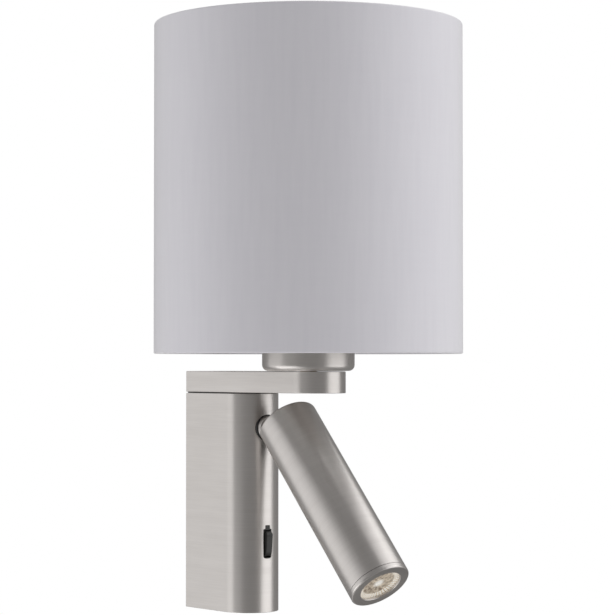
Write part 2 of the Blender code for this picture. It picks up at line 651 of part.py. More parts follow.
# ---------------------------------------------------------------- lampholder and bulb
def make_cup():
    high = CUP_BOTTOM + CUP_HEIGHT
    hole = NIPPLE_R + GAP
    outer = [(CUP_R, high)] + fillet((CUP_R - CUP_FILLET, CUP_BOTTOM + CUP_FILLET), CUP_FILLET, 0, -90, 4)
    inner_r, bend = CUP_R - CUP_WALL, CUP_FILLET - CUP_WALL
    inner = fillet((inner_r - bend, CUP_FLOOR + bend), bend, -90, 0, 3) + [(inner_r, high)]
    profile = outer + [(hole, CUP_BOTTOM), (hole, CUP_FLOOR)] + inner
    turned("lamp_cup", profile, NICKEL, LAMP_AXIS, ring=True)


def make_lampholder():
    base_top = HOLDER_BASE_Z + HOLDER_BASE_HEIGHT
    floor = HOLDER_BASE_Z + HOLDER_WALL
    inside = HOLDER_R - HOLDER_WALL
    hole = NIPPLE_R + GAP
    rise = HOLDER_BASE_Z + HOLDER_FOOT_RISE
    profile = [(HOLDER_R, base_top), (HOLDER_R, rise), (HOLDER_FOOT_R, HOLDER_BASE_Z), (hole, HOLDER_BASE_Z)]
    profile += [(hole, floor), (HOLDER_FOOT_R, floor), (inside, rise + HOLDER_FOOT_BEND), (inside, base_top)]
    turned("lampholder_base", profile, WHITE, LAMP_AXIS, steps=24, ring=True)
    tube("lampholder_skirt", HOLDER_R, inside, HOLDER_SKIRT_Z, HOLDER_SKIRT_TOP, WHITE, LAMP_AXIS)

    core_top = HOLDER_SKIRT_Z + HOLDER_CORE_RISE
    bar("lampholder_core", inside - GAP, HOLDER_CORE_Z, core_top, CERAMIC, LAMP_AXIS)
    low = core_top + GAP
    high = low + SCREW_SHELL_HEIGHT
    inner = SCREW_SHELL_R - SCREW_SHELL_WALL
    tube("lampholder_screw_shell", SCREW_SHELL_R, inner, low, high, BRASS, LAMP_AXIS)
    bar("lampholder_contact", CONTACT_R, low, low + CONTACT_HEIGHT, BRASS, LAMP_AXIS)
    make_bulb(low + CONTACT_HEIGHT + GAP)


def make_bulb(tip_z):
    """The screw-in lamp, from its end contact up."""
    cap_low = tip_z + BULB_TIP
    cap_high = cap_low + BULB_CAP_HEIGHT
    profile = [(0, cap_high), (BULB_CAP_R, cap_high), (BULB_CAP_R, cap_low + BULB_CAP_TAPER)]
    profile += [(BULB_CAP_TOE_R, cap_low), (BULB_TIP_R, tip_z), (0, tip_z)]
    turned("bulb_cap", profile, ALUMINIUM, LAMP_AXIS, steps=24)
    middle = cap_high + BULB_NECK
    low, high = cap_high + GAP, middle - BULB_GLOBE_DEPTH
    flare = (BULB_FLARE_R, HOLDER_SKIRT_TOP + BULB_FLARE_RISE)
    profile = [(0, high), (BULB_NECK_R, high), flare, (BULB_FOOT_R, low), (0, low)]
    turned("bulb_body", profile, WHITE, LAMP_AXIS, steps=24)
    start = high + GAP
    reach = math.degrees(math.asin((start - middle) / BULB_R))
    profile = fillet((0, middle), BULB_R, 90, reach, 10)
    profile[0] = (0, middle + BULB_R)
    turned("bulb_globe", profile + [(0, start)], OPAL, LAMP_AXIS, steps=24)


# ---------------------------------------------------------------- shade
def make_shade():
    """The fabric drum, its upper ring, the fitter and the two threaded rings that hold it."""
    inner = SHADE_R - SHADE_SKIN
    tube("shade_fabric", SHADE_R, inner, SHADE_BOTTOM, SHADE_TOP, FABRIC, LAMP_AXIS, steps=SHADE_SIDES)
    inset = SHADE_WIRE_R + GAP
    for name, z in (("shade_top_wire", SHADE_TOP - inset), ("shade_foot_wire", SHADE_BOTTOM + inset)):
        ring = [(x, y, z) for x, y in circle(0, LAMP_Y, SHADE_WIRE_AT, SHADE_SIDES)]
        wire(name, ring, SHADE_WIRE_R, WHITE_WIRE, cyclic=True, sides=1)
    make_spider(SHADE_BOTTOM + inset)
    bore, rim = HOLDER_R + GAP, HOLDER_R + SHADE_NUT_RIM
    for name, low in (
        ("shade_nut_lower", SPIDER_Z - GAP - SHADE_NUT_HEIGHT),
        ("shade_nut_upper", SPIDER_Z + SPIDER_RING + GAP),
    ):
        tube(name, rim, bore, low, low + SHADE_NUT_HEIGHT, WHITE, LAMP_AXIS)


def make_spider(foot_z):
    """The fitter: the flat ring that sits on the lampholder, and its three bent arms to the foot wire."""
    inner, outer = HOLDER_R + 2 * GAP, HOLDER_R + SPIDER_RING_RIM
    spider = tube("shade_spider", outer, inner, SPIDER_Z, SPIDER_Z + SPIDER_RING, WHITE_WIRE, LAMP_AXIS)
    middle = SPIDER_Z + SPIDER_RING / 2
    root, foot = outer - SPIDER_ARM_ROOT, SHADE_WIRE_AT - SHADE_WIRE_R - GAP
    for i in range(SPIDER_ARMS):
        angle = TURN * i / SPIDER_ARMS + TURN / 4
        route = [
            (math.cos(angle) * out, LAMP_Y + math.sin(angle) * out, z)
            for out, z in (
                (root, middle),
                (root + SPIDER_ARM_BEND, middle),
                (foot - SPIDER_ARM_FOOT, foot_z + SPIDER_ARM_FOOT_RISE),
                (foot, foot_z),
            )
        ]
        join(spider, as_mesh(wire(f"spider_arm_{i + 1}", route, SPIDER_ARM_R)), "UNION")


# ---------------------------------------------------------------- switch
def make_switch():
    """The slim rocker switch: keyed body flush in the housing, rocker on its axle, two blades behind."""
    half = SWITCH_WIDTH / 2 - SWITCH_FIT
    low, high = SWITCH_LOW + SWITCH_FIT, SWITCH_HIGH - SWITCH_FIT
    front = -HOUSING_DEPTH + SWITCH_SINK
    back = front + SWITCH_DEPTH
    body = box("switch_body", (-half, front, low), (half, back, high), BLACK)
    key_half = SWITCH_KEY_WIDTH / 2 - SWITCH_FIT
    key_low, key_high = high - SWITCH_WALL, high + SWITCH_KEY_HEIGHT
    tab = box("switch_tab", (-key_half, front, key_low), (key_half, back - SWITCH_TAB_STEP, key_high))
    join(body, tab, "UNION")
    room_half = half - SWITCH_WALL
    room = box(
        "switch_room",
        (-room_half, front - SWITCH_WALL, low + SWITCH_WALL),
        (room_half, back - SWITCH_FLOOR, high - SWITCH_WALL),
    )
    join(body, room)
    at = (0, ROCKER_Y, SWITCH_Z)
    join(body, cylinder("rocker_axle_hole", ROCKER_AXLE_R + RUNNING, 2 * SWITCH_WIDTH, at, "X", sides=24))
    thick, length, tall = TERMINAL_BLADE
    for i, side in enumerate((-1, 1), 1):
        z = SWITCH_Z + side * TERMINAL_BLADE_SPACING / 2
        low, high = z - tall / 2, z + tall / 2
        far = (thick / 2, BLADE_LOW_Y + length, high)
        box(f"switch_terminal_{i}", (-thick / 2, BLADE_LOW_Y, low), far, BRASS)
    make_rocker(room_half - ROCKER_SIDE_FIT, SWITCH_HEIGHT / 2 - SWITCH_FIT - SWITCH_WALL - ROCKER_END_FIT)


def make_rocker(half_width, half):
    """The rocker about its axle: a flat face with rounded ends, leaning so that its upper end stands out."""
    hinge = joint_empty("rocker_axis", (0, ROCKER_Y, SWITCH_Z), (ROCKER_LEAN, 0, 0))
    face = -ROCKER_AXLE_SINK - ROCKER_PROUD + ROCKER_NOSE_R
    outline = fillet((half - ROCKER_NOSE_R, face), ROCKER_NOSE_R, 0, -90, 4)
    outline += fillet((-half + ROCKER_NOSE_R, face), ROCKER_NOSE_R, -90, -180, 4)
    outline += [(-half, -ROCKER_SKIRT), (-ROCKER_BACK_HALF, ROCKER_BACK)]
    outline += [(ROCKER_BACK_HALF, ROCKER_BACK), (half, -ROCKER_SKIRT)]
    rocker = flat("rocker", outline, -half_width, half_width, BLACK)
    rocker.parent = hinge
    # The outline's x runs up the switch and its y is the depth.
    rocker.matrix_basis = Matrix(((0, 0, -1, 0), (0, 1, 0, 0), (1, 0, 0, 0), (0, 0, 0, 1)))
    length = SWITCH_WIDTH - 2 * (SWITCH_FIT + ROCKER_AXLE_FIT)
    join(rocker, cylinder("rocker_axle", ROCKER_AXLE_R, length, (0, 0, 0), "X", on=hinge, sides=20), "UNION")


# ---------------------------------------------------------------- swivel
def make_swivel():
    """The nylon bush in the housing, the stem that turns in it, and what holds the stem from behind."""
    pan = joint_empty("pan_axis", (0, 0, SWIVEL_Z))
    sleeve_r = SWIVEL_HOLE_R - SWIVEL_SLEEVE_FIT
    sleeve_in = sleeve_r - SWIVEL_BUSH_WALL
    front = HOUSING_DEPTH - SWIVEL_SLEEVE_SINK
    flange = -HOUSING_NOSE_Y + math.sqrt(HOUSING_INNER**2 - SWIVEL_FLANGE_R**2) - GAP
    floor = flange - SWIVEL_FLANGE_RIM
    floor_back = floor - SWIVEL_FLOOR
    shank_hole = SWIVEL_SHANK_R + RUNNING
    profile = [(sleeve_r, front), (sleeve_r, flange), (SWIVEL_FLANGE_R, flange)]
    profile += [(SWIVEL_FLANGE_R, floor_back), (shank_hole, floor_back)]
    profile += [(shank_hole, floor), (sleeve_in, floor), (sleeve_in, front)]
    turned("swivel_bush", profile, BLACK, (0, 0, SWIVEL_Z), TOWARDS_ROOM, ring=True)

    bore = SWIVEL_SHANK_R + GAP
    high = floor_back - GAP
    low = high - SPRING_WASHER
    tube("swivel_spring_washer", SPRING_WASHER_R, bore, low, high, STEEL, (0, 0, SWIVEL_Z), TOWARDS_ROOM)
    high = low - GAP
    low = high - SWIVEL_WASHER
    tube("swivel_washer", SWIVEL_WASHER_R, bore, low, high, STEEL, (0, 0, 0), TOWARDS_ROOM, pan)
    nut_back = low - GAP - SWIVEL_NUT
    hex_nut("swivel_nut", SWIVEL_NUT_R, SWIVEL_NUT, bore, (0, -nut_back - SWIVEL_NUT / 2, 0), "Y", BRASS, pan)

    boss_r = sleeve_in - RUNNING
    boss_front = HOUSING_DEPTH + SWIVEL_PROUD
    end = nut_back - SHANK_PAST_NUT
    profile = [(0, boss_front), (boss_r - SWIVEL_CHAMFER, boss_front), (boss_r, boss_front - SWIVEL_CHAMFER)]
    profile += [(boss_r, floor + GAP), (SWIVEL_SHANK_R, floor + GAP), (SWIVEL_SHANK_R, end), (0, end)]
    stem = turned("swivel_stem", profile, NICKEL, (0, 0, 0), TOWARDS_ROOM, pan)
    root_y = -boss_front + TONGUE_ROOT
    reach = root_y - PIVOT_Y
    outline = [(0, TONGUE_R)] + fillet((-reach, 0), TONGUE_R, 90, 270, 12) + [(0, -TONGUE_R)]
    tongue = flat("tongue", outline, -TONGUE_THICK / 2, TONGUE_THICK / 2)
    tongue.parent = pan
    # The outline's x runs out of the wall and its y up.
    tongue.matrix_basis = Matrix(((0, 0, 1, 0), (1, 0, 0, root_y), (0, 1, 0, 0), (0, 0, 0, 1)))
    join(stem, tongue, "UNION")
    bore_back, bore_front = SWIVEL_BORE_END - end, PIVOT_Y + TONGUE_R + TONGUE_ROOT
    at = (0, (bore_back + bore_front) / 2, 0)
    join(stem, cylinder("stem_bore", SWIVEL_BORE, bore_back - bore_front, at, "Y", on=pan, sides=20))
    at = (0, PIVOT_Y, 0)
    join(stem, cylinder("stem_pin_hole", PIN_R + RUNNING, DRILL_LENGTH, at, "X", on=pan, sides=28))
    return pan


# ---------------------------------------------------------------- reading head
def make_head(pan):
    """The reading head, built hanging straight down from the tilt axis and then tilted."""
    tilt = joint_empty("tilt_axis", (0, PIVOT_Y, 0), (-HEAD_TILT, 0, 0), pan)
    seam = HEAD_SEAM + BEZEL_SEAM
    inner_end = HEAD_BACK - HEAD_END_WALL
    bend = HEAD_FILLET
    profile = [(0, HEAD_BACK)] + fillet((HEAD_R - bend, HEAD_BACK - bend), bend, 90, 0, 3)
    profile += [(HEAD_R, seam), (HEAD_BORE, seam), (HEAD_BORE, inner_end), (0, inner_end)]
    housing = turned("head_housing", profile, NICKEL, on=tilt, steps=HEAD_SIDES)
    room = TONGUE_R + TONGUE_ROOM
    half = TONGUE_THICK / 2 + WASHER_THICK + GAP
    past = HEAD_WALL
    slot = box("tongue_slot", (-half, -room, -room), (half, HEAD_R + past, HEAD_BACK + past), on=tilt)
    join(housing, slot)
    make_pivot(tilt, inner_end - GAP, slot)
    make_optics(tilt)


def make_pivot(tilt, top, slot):
    """The forked block inside the head's closed end, with the tilt pin and its friction washers."""
    block = bar("pivot_block", HEAD_BORE - HEAD_FIT, -PIVOT_BLOCK_DEPTH, top, ALUMINIUM, on=tilt)
    join(block, slot)
    join(block, cylinder("block_pin_hole", PIN_R + RUNNING, 3 * HEAD_R, (0, 0, 0), "X", on=tilt, sides=28))
    cylinder("tilt_pin", PIN_R, 2 * (HEAD_BORE - PIN_END_ROOM), (0, 0, 0), "X", STEEL, tilt, sides=24)
    across = TONGUE_THICK / 2 + WASHER_FIT
    for i, low in enumerate((-across - WASHER_THICK, across), 1):
        name, high = f"friction_washer_{i}", low + WASHER_THICK
        tube(name, WASHER_R, PIN_R + RUNNING, low, high, STEEL, turn=AXIS_TURN["X"], on=tilt)


def make_optics(tilt):
    """From the open end inwards: bezel, lens, gasket, reflector, LED, its board and the heat sink."""
    lip = HEAD_END + BEZEL_LIP
    lens_room = BEZEL_OPENING_R + LENS_SEAT
    spigot_r, spigot_top = HEAD_BORE - HEAD_FIT, HEAD_SEAM + BEZEL_SPIGOT
    profile = [(spigot_r, spigot_top), (spigot_r, HEAD_SEAM), (HEAD_R, HEAD_SEAM)]
    profile += fillet((HEAD_R - BEZEL_FILLET, HEAD_END + BEZEL_FILLET), BEZEL_FILLET, 0, -90, 2)
    profile += [(BEZEL_OPENING_R + BEZEL_CHAMFER, HEAD_END), (BEZEL_OPENING_R, HEAD_END + BEZEL_CHAMFER)]
    profile += [(BEZEL_OPENING_R, lip), (lens_room, lip), (lens_room, spigot_top)]
    turned("head_bezel", profile, NICKEL, on=tilt, steps=HEAD_SIDES, ring=True)

    lens_r = lens_room - LENS_FIT
    lens_low = lip + GAP
    gasket_low = lens_low + LENS_THICK + OPTICS_FIT
    rim = gasket_low + GASKET_THICK + OPTICS_FIT
    bar("lens", lens_r, lens_low, lens_low + LENS_THICK, CLEAR, on=tilt)
    tube("lens_gasket", lens_r, BEZEL_OPENING_R, gasket_low, gasket_low + GASKET_THICK, BLACK, on=tilt)

    throat = rim + REFLECTOR_DEPTH
    spread = BEZEL_OPENING_R - REFLECTOR_THROAT_R
    steps = 6
    bowl = [
        (REFLECTOR_THROAT_R + spread * math.sqrt(i / steps), throat - REFLECTOR_DEPTH * i / steps)
        for i in range(steps + 1)
    ]
    outside = [(radius + REFLECTOR_WALL, z) for radius, z in bowl[:-1]]
    edge = [(lens_r, rim + REFLECTOR_RIM), (lens_r, rim)]
    turned("reflector", outside + edge + bowl[::-1], MIRROR, on=tilt, steps=24, ring=True)

    board_low = throat + GAP
    board_high = board_low + BOARD_THICK
    bar("led_board", BOARD_R, board_low, board_high, BOARD, on=tilt, steps=6)
    half, chip_top = CHIP_SIZE / 2, board_low - OPTICS_FIT
    box("led_chip", (-half, -half, chip_top - CHIP_HEIGHT), (half, half, chip_top), PHOSPHOR, tilt)

    sink_low = board_high + GAP
    sink_high = sink_low + HEAT_SINK_LENGTH
    fin = HEAT_SINK_LENGTH / (2 * HEAT_SINK_FINS - 1)
    outer, core = HEAD_BORE - HEAD_FIT, HEAT_SINK_CORE_R
    profile = [(0, sink_high)]
    for i in range(HEAT_SINK_FINS):
        high = sink_high - 2 * i * fin
        profile += [(outer, high), (outer, high - fin), (core, high - fin), (core, high - 2 * fin)]
    turned("heat_sink", profile[:-2] + [(0, sink_low)], ALUMINIUM, on=tilt, steps=24)


# ---------------------------------------------------------------- wires
def route(name, points, paint):
    """A lead through points given in millimetres from an anchor each: (anchor, (x, y, z))."""
    places = [Vector(anchor) + Vector(step) * MM for anchor, step in points]
    wire(name, smooth_route(places), WIRE_R, paint)


def make_wires():
    """The leads in the housing and the arm: to the lampholder, the switch and the LED's end of the stem."""
    hole = (0, ARM_CABLE_HOLE_Y, HOUSING_TOP)
    tray = (0, ARM_CABLE_HOLE_Y, ARM_BOTTOM + ARM_PLATE)
    under_holder = (0, LAMP_Y, ARM_BOTTOM + ARM_PLATE)
    middle_way, left_way = ((terminal_x(way), TERMINAL_ENTRY_Y, TERMINAL_LOW) for way in (2, 1))
    lead = [(middle_way, step) for step in ((0, 0, 4), (0, 0, -2.5), (-1, -5, -9))]
    lead += [(middle_way, step) for step in ((-3, -12, -8), (-5, -17, 0))]
    lead += [(hole, step) for step in ((-6, 3, -25), (-4, 0, -11), (0, 0, -3))]
    lead += [(tray, step) for step in ((0, 0, -0.5), (2, -3, 3), (7, -11, 4))]
    lead += [(under_holder, step) for step in ((7, 35, 4), (5, 19, 3), (0, 9, 1.7), (0, 4, 1.7), (0, 1, 4.3))]
    end = (0, LAMP_Y, HOLDER_CORE_Z - WIRE_END)
    lead += [(end, (0, 0, -14)), (end, (0, 0, 0))]
    route("lamp_lead", lead, BROWN_WIRE)

    driver = (0, ELECTRICS_BACK, DRIVER_TOP + WIRE_END)
    stem = (0, -HOUSING_DEPTH, SWIVEL_Z)
    feed = [(driver, step) for step in ((8, -12, 0), (8, -13, 5), (7.5, -16, 14), (6.5, -18, 26))]
    feed += [(stem, step) for step in ((4, 35.5, -8.5), (1, 30.5, -1), (0, 24.5, 0), (0, 19, 0))]
    route("led_lead", feed, BLUE_WIRE)

    blade = (0, BLADE_LOW_Y + TERMINAL_BLADE[1] + WIRE_END, SWITCH_Z + TERMINAL_BLADE_SPACING / 2)
    tail = [(blade, step) for step in ((0, 0, 0), (0, 4, 0), (-1, 7, 5), (-3, 8, 15))]
    tail += [(left_way, step) for step in ((2.5, -19, -15), (0, -10, -11), (0, -3, -8))]
    tail += [(left_way, step) for step in ((0, 0, -2.5), (0, 0, 4))]
    route("switch_lead_1", tail, BROWN_WIRE)
    blade = (0, blade[1], SWITCH_Z - TERMINAL_BLADE_SPACING / 2)
    tail = [(blade, step) for step in ((0, 0, 0), (1, 4, 0), (3, 8, 5), (5, 10, 17))]
    tail += [(driver, step) for step in ((5, -23.5, -1), (4.5, -18, 4), (4, -12.5, 4), (4, -10.5, 0))]
    route("switch_lead_2", tail, BROWN_WIRE)


make_housing()
make_bracket()
make_electrics()
make_arm()
make_nipple()
make_cup()
make_lampholder()
make_shade()
make_switch()
make_head(make_swivel())
make_wires()
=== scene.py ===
"""Looks of the bedside wall lamp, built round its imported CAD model. Metres, +Z up, the wall at y = 0."""

import json
import math

import bmesh
import bpy
from mathutils import Matrix, Vector


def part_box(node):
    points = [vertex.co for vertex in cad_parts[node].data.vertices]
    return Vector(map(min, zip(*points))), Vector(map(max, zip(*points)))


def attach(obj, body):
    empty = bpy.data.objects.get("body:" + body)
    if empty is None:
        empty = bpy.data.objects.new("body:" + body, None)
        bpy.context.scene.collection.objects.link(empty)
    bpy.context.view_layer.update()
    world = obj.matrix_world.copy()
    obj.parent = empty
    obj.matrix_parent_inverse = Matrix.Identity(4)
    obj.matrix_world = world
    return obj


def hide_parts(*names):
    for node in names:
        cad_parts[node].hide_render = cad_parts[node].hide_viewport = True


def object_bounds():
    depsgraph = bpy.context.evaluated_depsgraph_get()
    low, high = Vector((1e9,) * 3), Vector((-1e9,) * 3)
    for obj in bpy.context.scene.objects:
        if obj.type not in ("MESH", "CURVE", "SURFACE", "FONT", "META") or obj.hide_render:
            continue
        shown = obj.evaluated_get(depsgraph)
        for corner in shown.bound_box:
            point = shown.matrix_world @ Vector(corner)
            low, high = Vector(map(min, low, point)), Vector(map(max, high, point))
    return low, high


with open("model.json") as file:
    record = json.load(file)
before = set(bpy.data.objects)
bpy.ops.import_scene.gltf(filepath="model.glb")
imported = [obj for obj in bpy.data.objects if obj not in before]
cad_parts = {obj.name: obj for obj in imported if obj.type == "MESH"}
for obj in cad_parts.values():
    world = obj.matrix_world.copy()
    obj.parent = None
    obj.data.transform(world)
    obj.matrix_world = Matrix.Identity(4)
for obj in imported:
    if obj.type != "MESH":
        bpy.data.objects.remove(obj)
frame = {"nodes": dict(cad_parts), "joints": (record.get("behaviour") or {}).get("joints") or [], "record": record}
CAD_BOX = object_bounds()

MM = 0.001
TURN = 2 * math.pi
CORNER_STEPS = 5  # facets in a quarter turn of a rounded edge
SIDES = 96  # facets round a turned piece
HEAD_SIDES = 160
SMALL_SIDES = 48  # round a screw, a pin or a small hole
SHARP = math.radians(40)  # edges sharper than this stay sharp in the shading
EASED_FROM = math.radians(30)  # an extruded outline's edges sharper than this are rounded
ON_AXIS = 1e-7  # a smaller radius is a point on the axis
SAME = 0.01 * MM  # measures closer than this are the same one
EDGE = 0.25 * MM  # the small radius on edges of sheet metal

# ---------------------------------------------------------------- places, from the frame
JOINTS = {joint["name"]: joint for joint in frame["joints"]}
SLOT_OF = {row["node"]: row["material_slot"] for row in frame["record"]["subparts"]}
BODY_OF = {node: body for body, nodes in frame["record"]["behaviour"]["bodies"].items() for node in nodes}
SHADE_LOW, SHADE_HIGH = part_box("shade_fabric")
LAMP_Y = (SHADE_LOW.y + SHADE_HIGH.y) / 2
LAMP = Matrix.Translation((0, LAMP_Y, 0))
PAN_Z = JOINTS["head_pan"]["pos_m"][2]
PIVOT = Vector(JOINTS["head_tilt"]["pos_m"])
HEAD_TILT = math.radians(-JOINTS["head_tilt"]["range_deg"][0])
# The head's own frame: origin on the tilt axis, +Z towards its closed end.
HEAD = Matrix.Translation(PIVOT) @ Matrix.Rotation(-HEAD_TILT, 4, "X")
# The swivel's frame: origin on the wall plane, +Z towards the room.
SWIVEL = Matrix.Translation((0, 0, PAN_Z)) @ Matrix.Rotation(TURN / 4, 4, "X")
# For outlines drawn in x and z and given their depth along y.
UPRIGHT = Matrix(((1, 0, 0, 0), (0, 0, 1, 0), (0, 1, 0, 0), (0, 0, 0, 1)))


def span(node, place):
    """(lowest z, highest z, smallest radius, largest radius) of a CAD node in the frame `place`."""
    back = place.inverted()
    points = [back @ vertex.co for vertex in frame["nodes"][node].data.vertices]
    radii = [math.hypot(point.x, point.y) for point in points]
    heights = [point.z for point in points]
    return min(heights), max(heights), min(radii), max(radii)


# ---------------------------------------------------------------- mesh helpers
def rounded(corners, closed=True):
    """Points of an outline whose corners (a, b, radius) are rounded."""
    points = []
    last = len(corners) - 1
    for i, (a, b, radius) in enumerate(corners):
        here = Vector((a, b))
        if radius <= 0 or (not closed and i in (0, last)):
            points.append(here)
            continue
        before = (Vector(corners[i - 1][:2]) - here).normalized()
        after = (Vector(corners[(i + 1) % len(corners)][:2]) - here).normalized()
        half = before.angle(after) / 2
        centre = here + (before + after).normalized() * radius / math.sin(half)
        start = here + before * radius / math.tan(half) - centre
        end = here + after * radius / math.tan(half) - centre
        sweep = math.atan2(start.x * end.y - start.y * end.x, start.dot(end))
        steps = max(2, round(abs(sweep) / TURN * 4 * CORNER_STEPS))
        points += [centre + Matrix.Rotation(sweep * k / steps, 2) @ start for k in range(steps + 1)]
    return points


def piece(name, shape, place=None, body=None, nodes=(), paint=None, weighted=True):
    """A new object of the lamp from a bmesh, smooth but for its sharp edges, riding on a CAD body."""
    bmesh.ops.recalc_face_normals(shape, faces=shape.faces)
    data = bpy.data.meshes.new(name)
    shape.to_mesh(data)
    shape.free()
    data.shade_smooth()
    data.set_sharp_from_angle(angle=SHARP)
    made = bpy.data.objects.new(name, data)
    bpy.context.scene.collection.objects.link(made)
    if place is not None:
        made.matrix_world = place
    if weighted:
        even = made.modifiers.new("even_normals", "WEIGHTED_NORMAL")
        even.keep_sharp = True
        even.weight = 100  # the large faces decide
    if nodes:
        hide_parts(*nodes)
        body = body or BODY_OF[nodes[0]]
    if body:
        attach(made, body)
    if paint:
        data.materials.append(paint)
    return made


def ring_of(shape, radius, z, sides, wave=None):
    """A ring of vertices, or one vertex on the axis. `wave` may change the radius at an angle and height."""
    if radius < ON_AXIS:
        return [shape.verts.new((0, 0, z))]
    ring = []
    for i in range(sides):
        angle = TURN * i / sides
        out = wave(angle, radius, z) if wave else radius
        ring.append(shape.verts.new((out * math.cos(angle), out * math.sin(angle), z)))
    return ring


def bridge(shape, low, high):
    """Faces between two rings, either of which may be a single point."""
    sides = max(len(low), len(high))
    for i in range(sides):
        j = (i + 1) % sides
        if len(low) == 1:
            shape.faces.new((low[0], high[j], high[i]))
        elif len(high) == 1:
            shape.faces.new((low[i], low[j], high[0]))
        else:
            shape.faces.new((low[i], low[j], high[j], high[i]))


def lathed(profile, closed=True, sides=SIDES, wave=None):
    """A bmesh turned about Z from (radius, z) points, closed on themselves or from axis to axis."""
    shape = bmesh.new()
    rings = [ring_of(shape, radius, z, sides, wave) for radius, z in profile]
    for low, high in zip(rings, rings[1:] + rings[:1] if closed else rings[1:]):
        if len(low) > 1 or len(high) > 1:
            bridge(shape, low, high)
    return shape


def prism(outline, low, high, edge=EDGE):
    """A bmesh of an (x, y) outline between two heights, its sharp edges rounded."""
    shape = bmesh.new()
    base = shape.faces.new([shape.verts.new((x, y, low)) for x, y in outline])
    moved = bmesh.ops.extrude_face_region(shape, geom=[base])["geom"]
    top = [item for item in moved if isinstance(item, bmesh.types.BMVert)]
    bmesh.ops.translate(shape, verts=top, vec=(0, 0, high - low))
    bmesh.ops.recalc_face_normals(shape, faces=shape.faces)
    if edge:
        corners = [e for e in shape.edges if e.calc_face_angle(0) > EASED_FROM]
        bmesh.ops.bevel(
            shape, geom=corners, offset=edge, segments=3, profile=0.5, affect="EDGES", clamp_overlap=True
        )
    return shape


def arc(x, y, radius, start, end, steps):
    """Points of an arc between two angles in degrees."""
    angles = [math.radians(start + (end - start) * i / steps) for i in range(steps + 1)]
    return [(x + radius * math.cos(a), y + radius * math.sin(a)) for a in angles]


def round_front(half, nose_y, back_y, steps=72):
    """An outline with straight sides and a half-round front."""
    return [(half, back_y), *arc(0, nose_y, half, 0, -180, steps), (-half, back_y)]


def cut(target, shape, place=None, operation="DIFFERENCE"):
    """Takes a bmesh away from an object, or adds it, and applies that at once."""
    bmesh.ops.recalc_face_normals(shape, faces=shape.faces)
    data = bpy.data.meshes.new("cutter")
    shape.to_mesh(data)
    shape.free()
    tool = bpy.data.objects.new("cutter", data)
    bpy.context.scene.collection.objects.link(tool)
    if place is not None:
        tool.matrix_world = place
    step = target.modifiers.new("cut", "BOOLEAN")
    step.object = tool
    step.solver = "EXACT"
    step.operation = operation
    target.modifiers.move(len(target.modifiers) - 1, 0)
    bpy.context.view_layer.update()
    result = bpy.data.meshes.new_from_object(target.evaluated_get(bpy.context.evaluated_depsgraph_get()))
    old = target.data
    name = old.name
    target.modifiers.remove(step)
    target.data = result
    bpy.data.meshes.remove(old)
    result.name = name
    result.set_sharp_from_angle(angle=SHARP)
    bpy.data.objects.remove(tool)


def bar_shape(radius, low, high, sides=SIDES):
    """A bmesh of a plain round bar about Z, for a hole."""
    return lathed([(0, low), (radius, low), (radius, high), (0, high)], False, sides)


def merged(*shapes):
    """One bmesh of several."""
    whole = bmesh.new()
    for shape in shapes:
        bmesh.ops.recalc_face_normals(shape, faces=shape.faces)
        data = bpy.data.meshes.new("part")
        shape.to_mesh(data)
        shape.free()
        whole.from_mesh(data)
        bpy.data.meshes.remove(data)
    return whole


def swept(points, radius, sides=16):
    """A bmesh of a round wire along points, with closed ends."""
    shape = bmesh.new()
    rings = []
    for i, point in enumerate(points):
        ahead = (points[min(i + 1, len(points) - 1)] - points[max(i - 1, 0)]).normalized()
        side = ahead.cross((0, 0, 1)).normalized()
        up = side.cross(ahead)
        ways = [math.cos(TURN * k / sides) * side + math.sin(TURN * k / sides) * up for k in range(sides)]
        rings.append([shape.verts.new(point + radius * way) for way in ways])
    for low, high in zip(rings, rings[1:]):
        bridge(shape, low, high)
    shape.faces.new(rings[0])
    shape.faces.new(rings[-1])
    return shape


def block(low, high):
    """A bmesh of a box between two corners."""
    shape = bmesh.new()
    low, high = Vector(low), Vector(high)
    middle = Matrix.Translation((low + high) / 2)
    bmesh.ops.create_cube(shape, size=1, matrix=middle @ Matrix.Diagonal((*(high - low), 1)))
    return shape


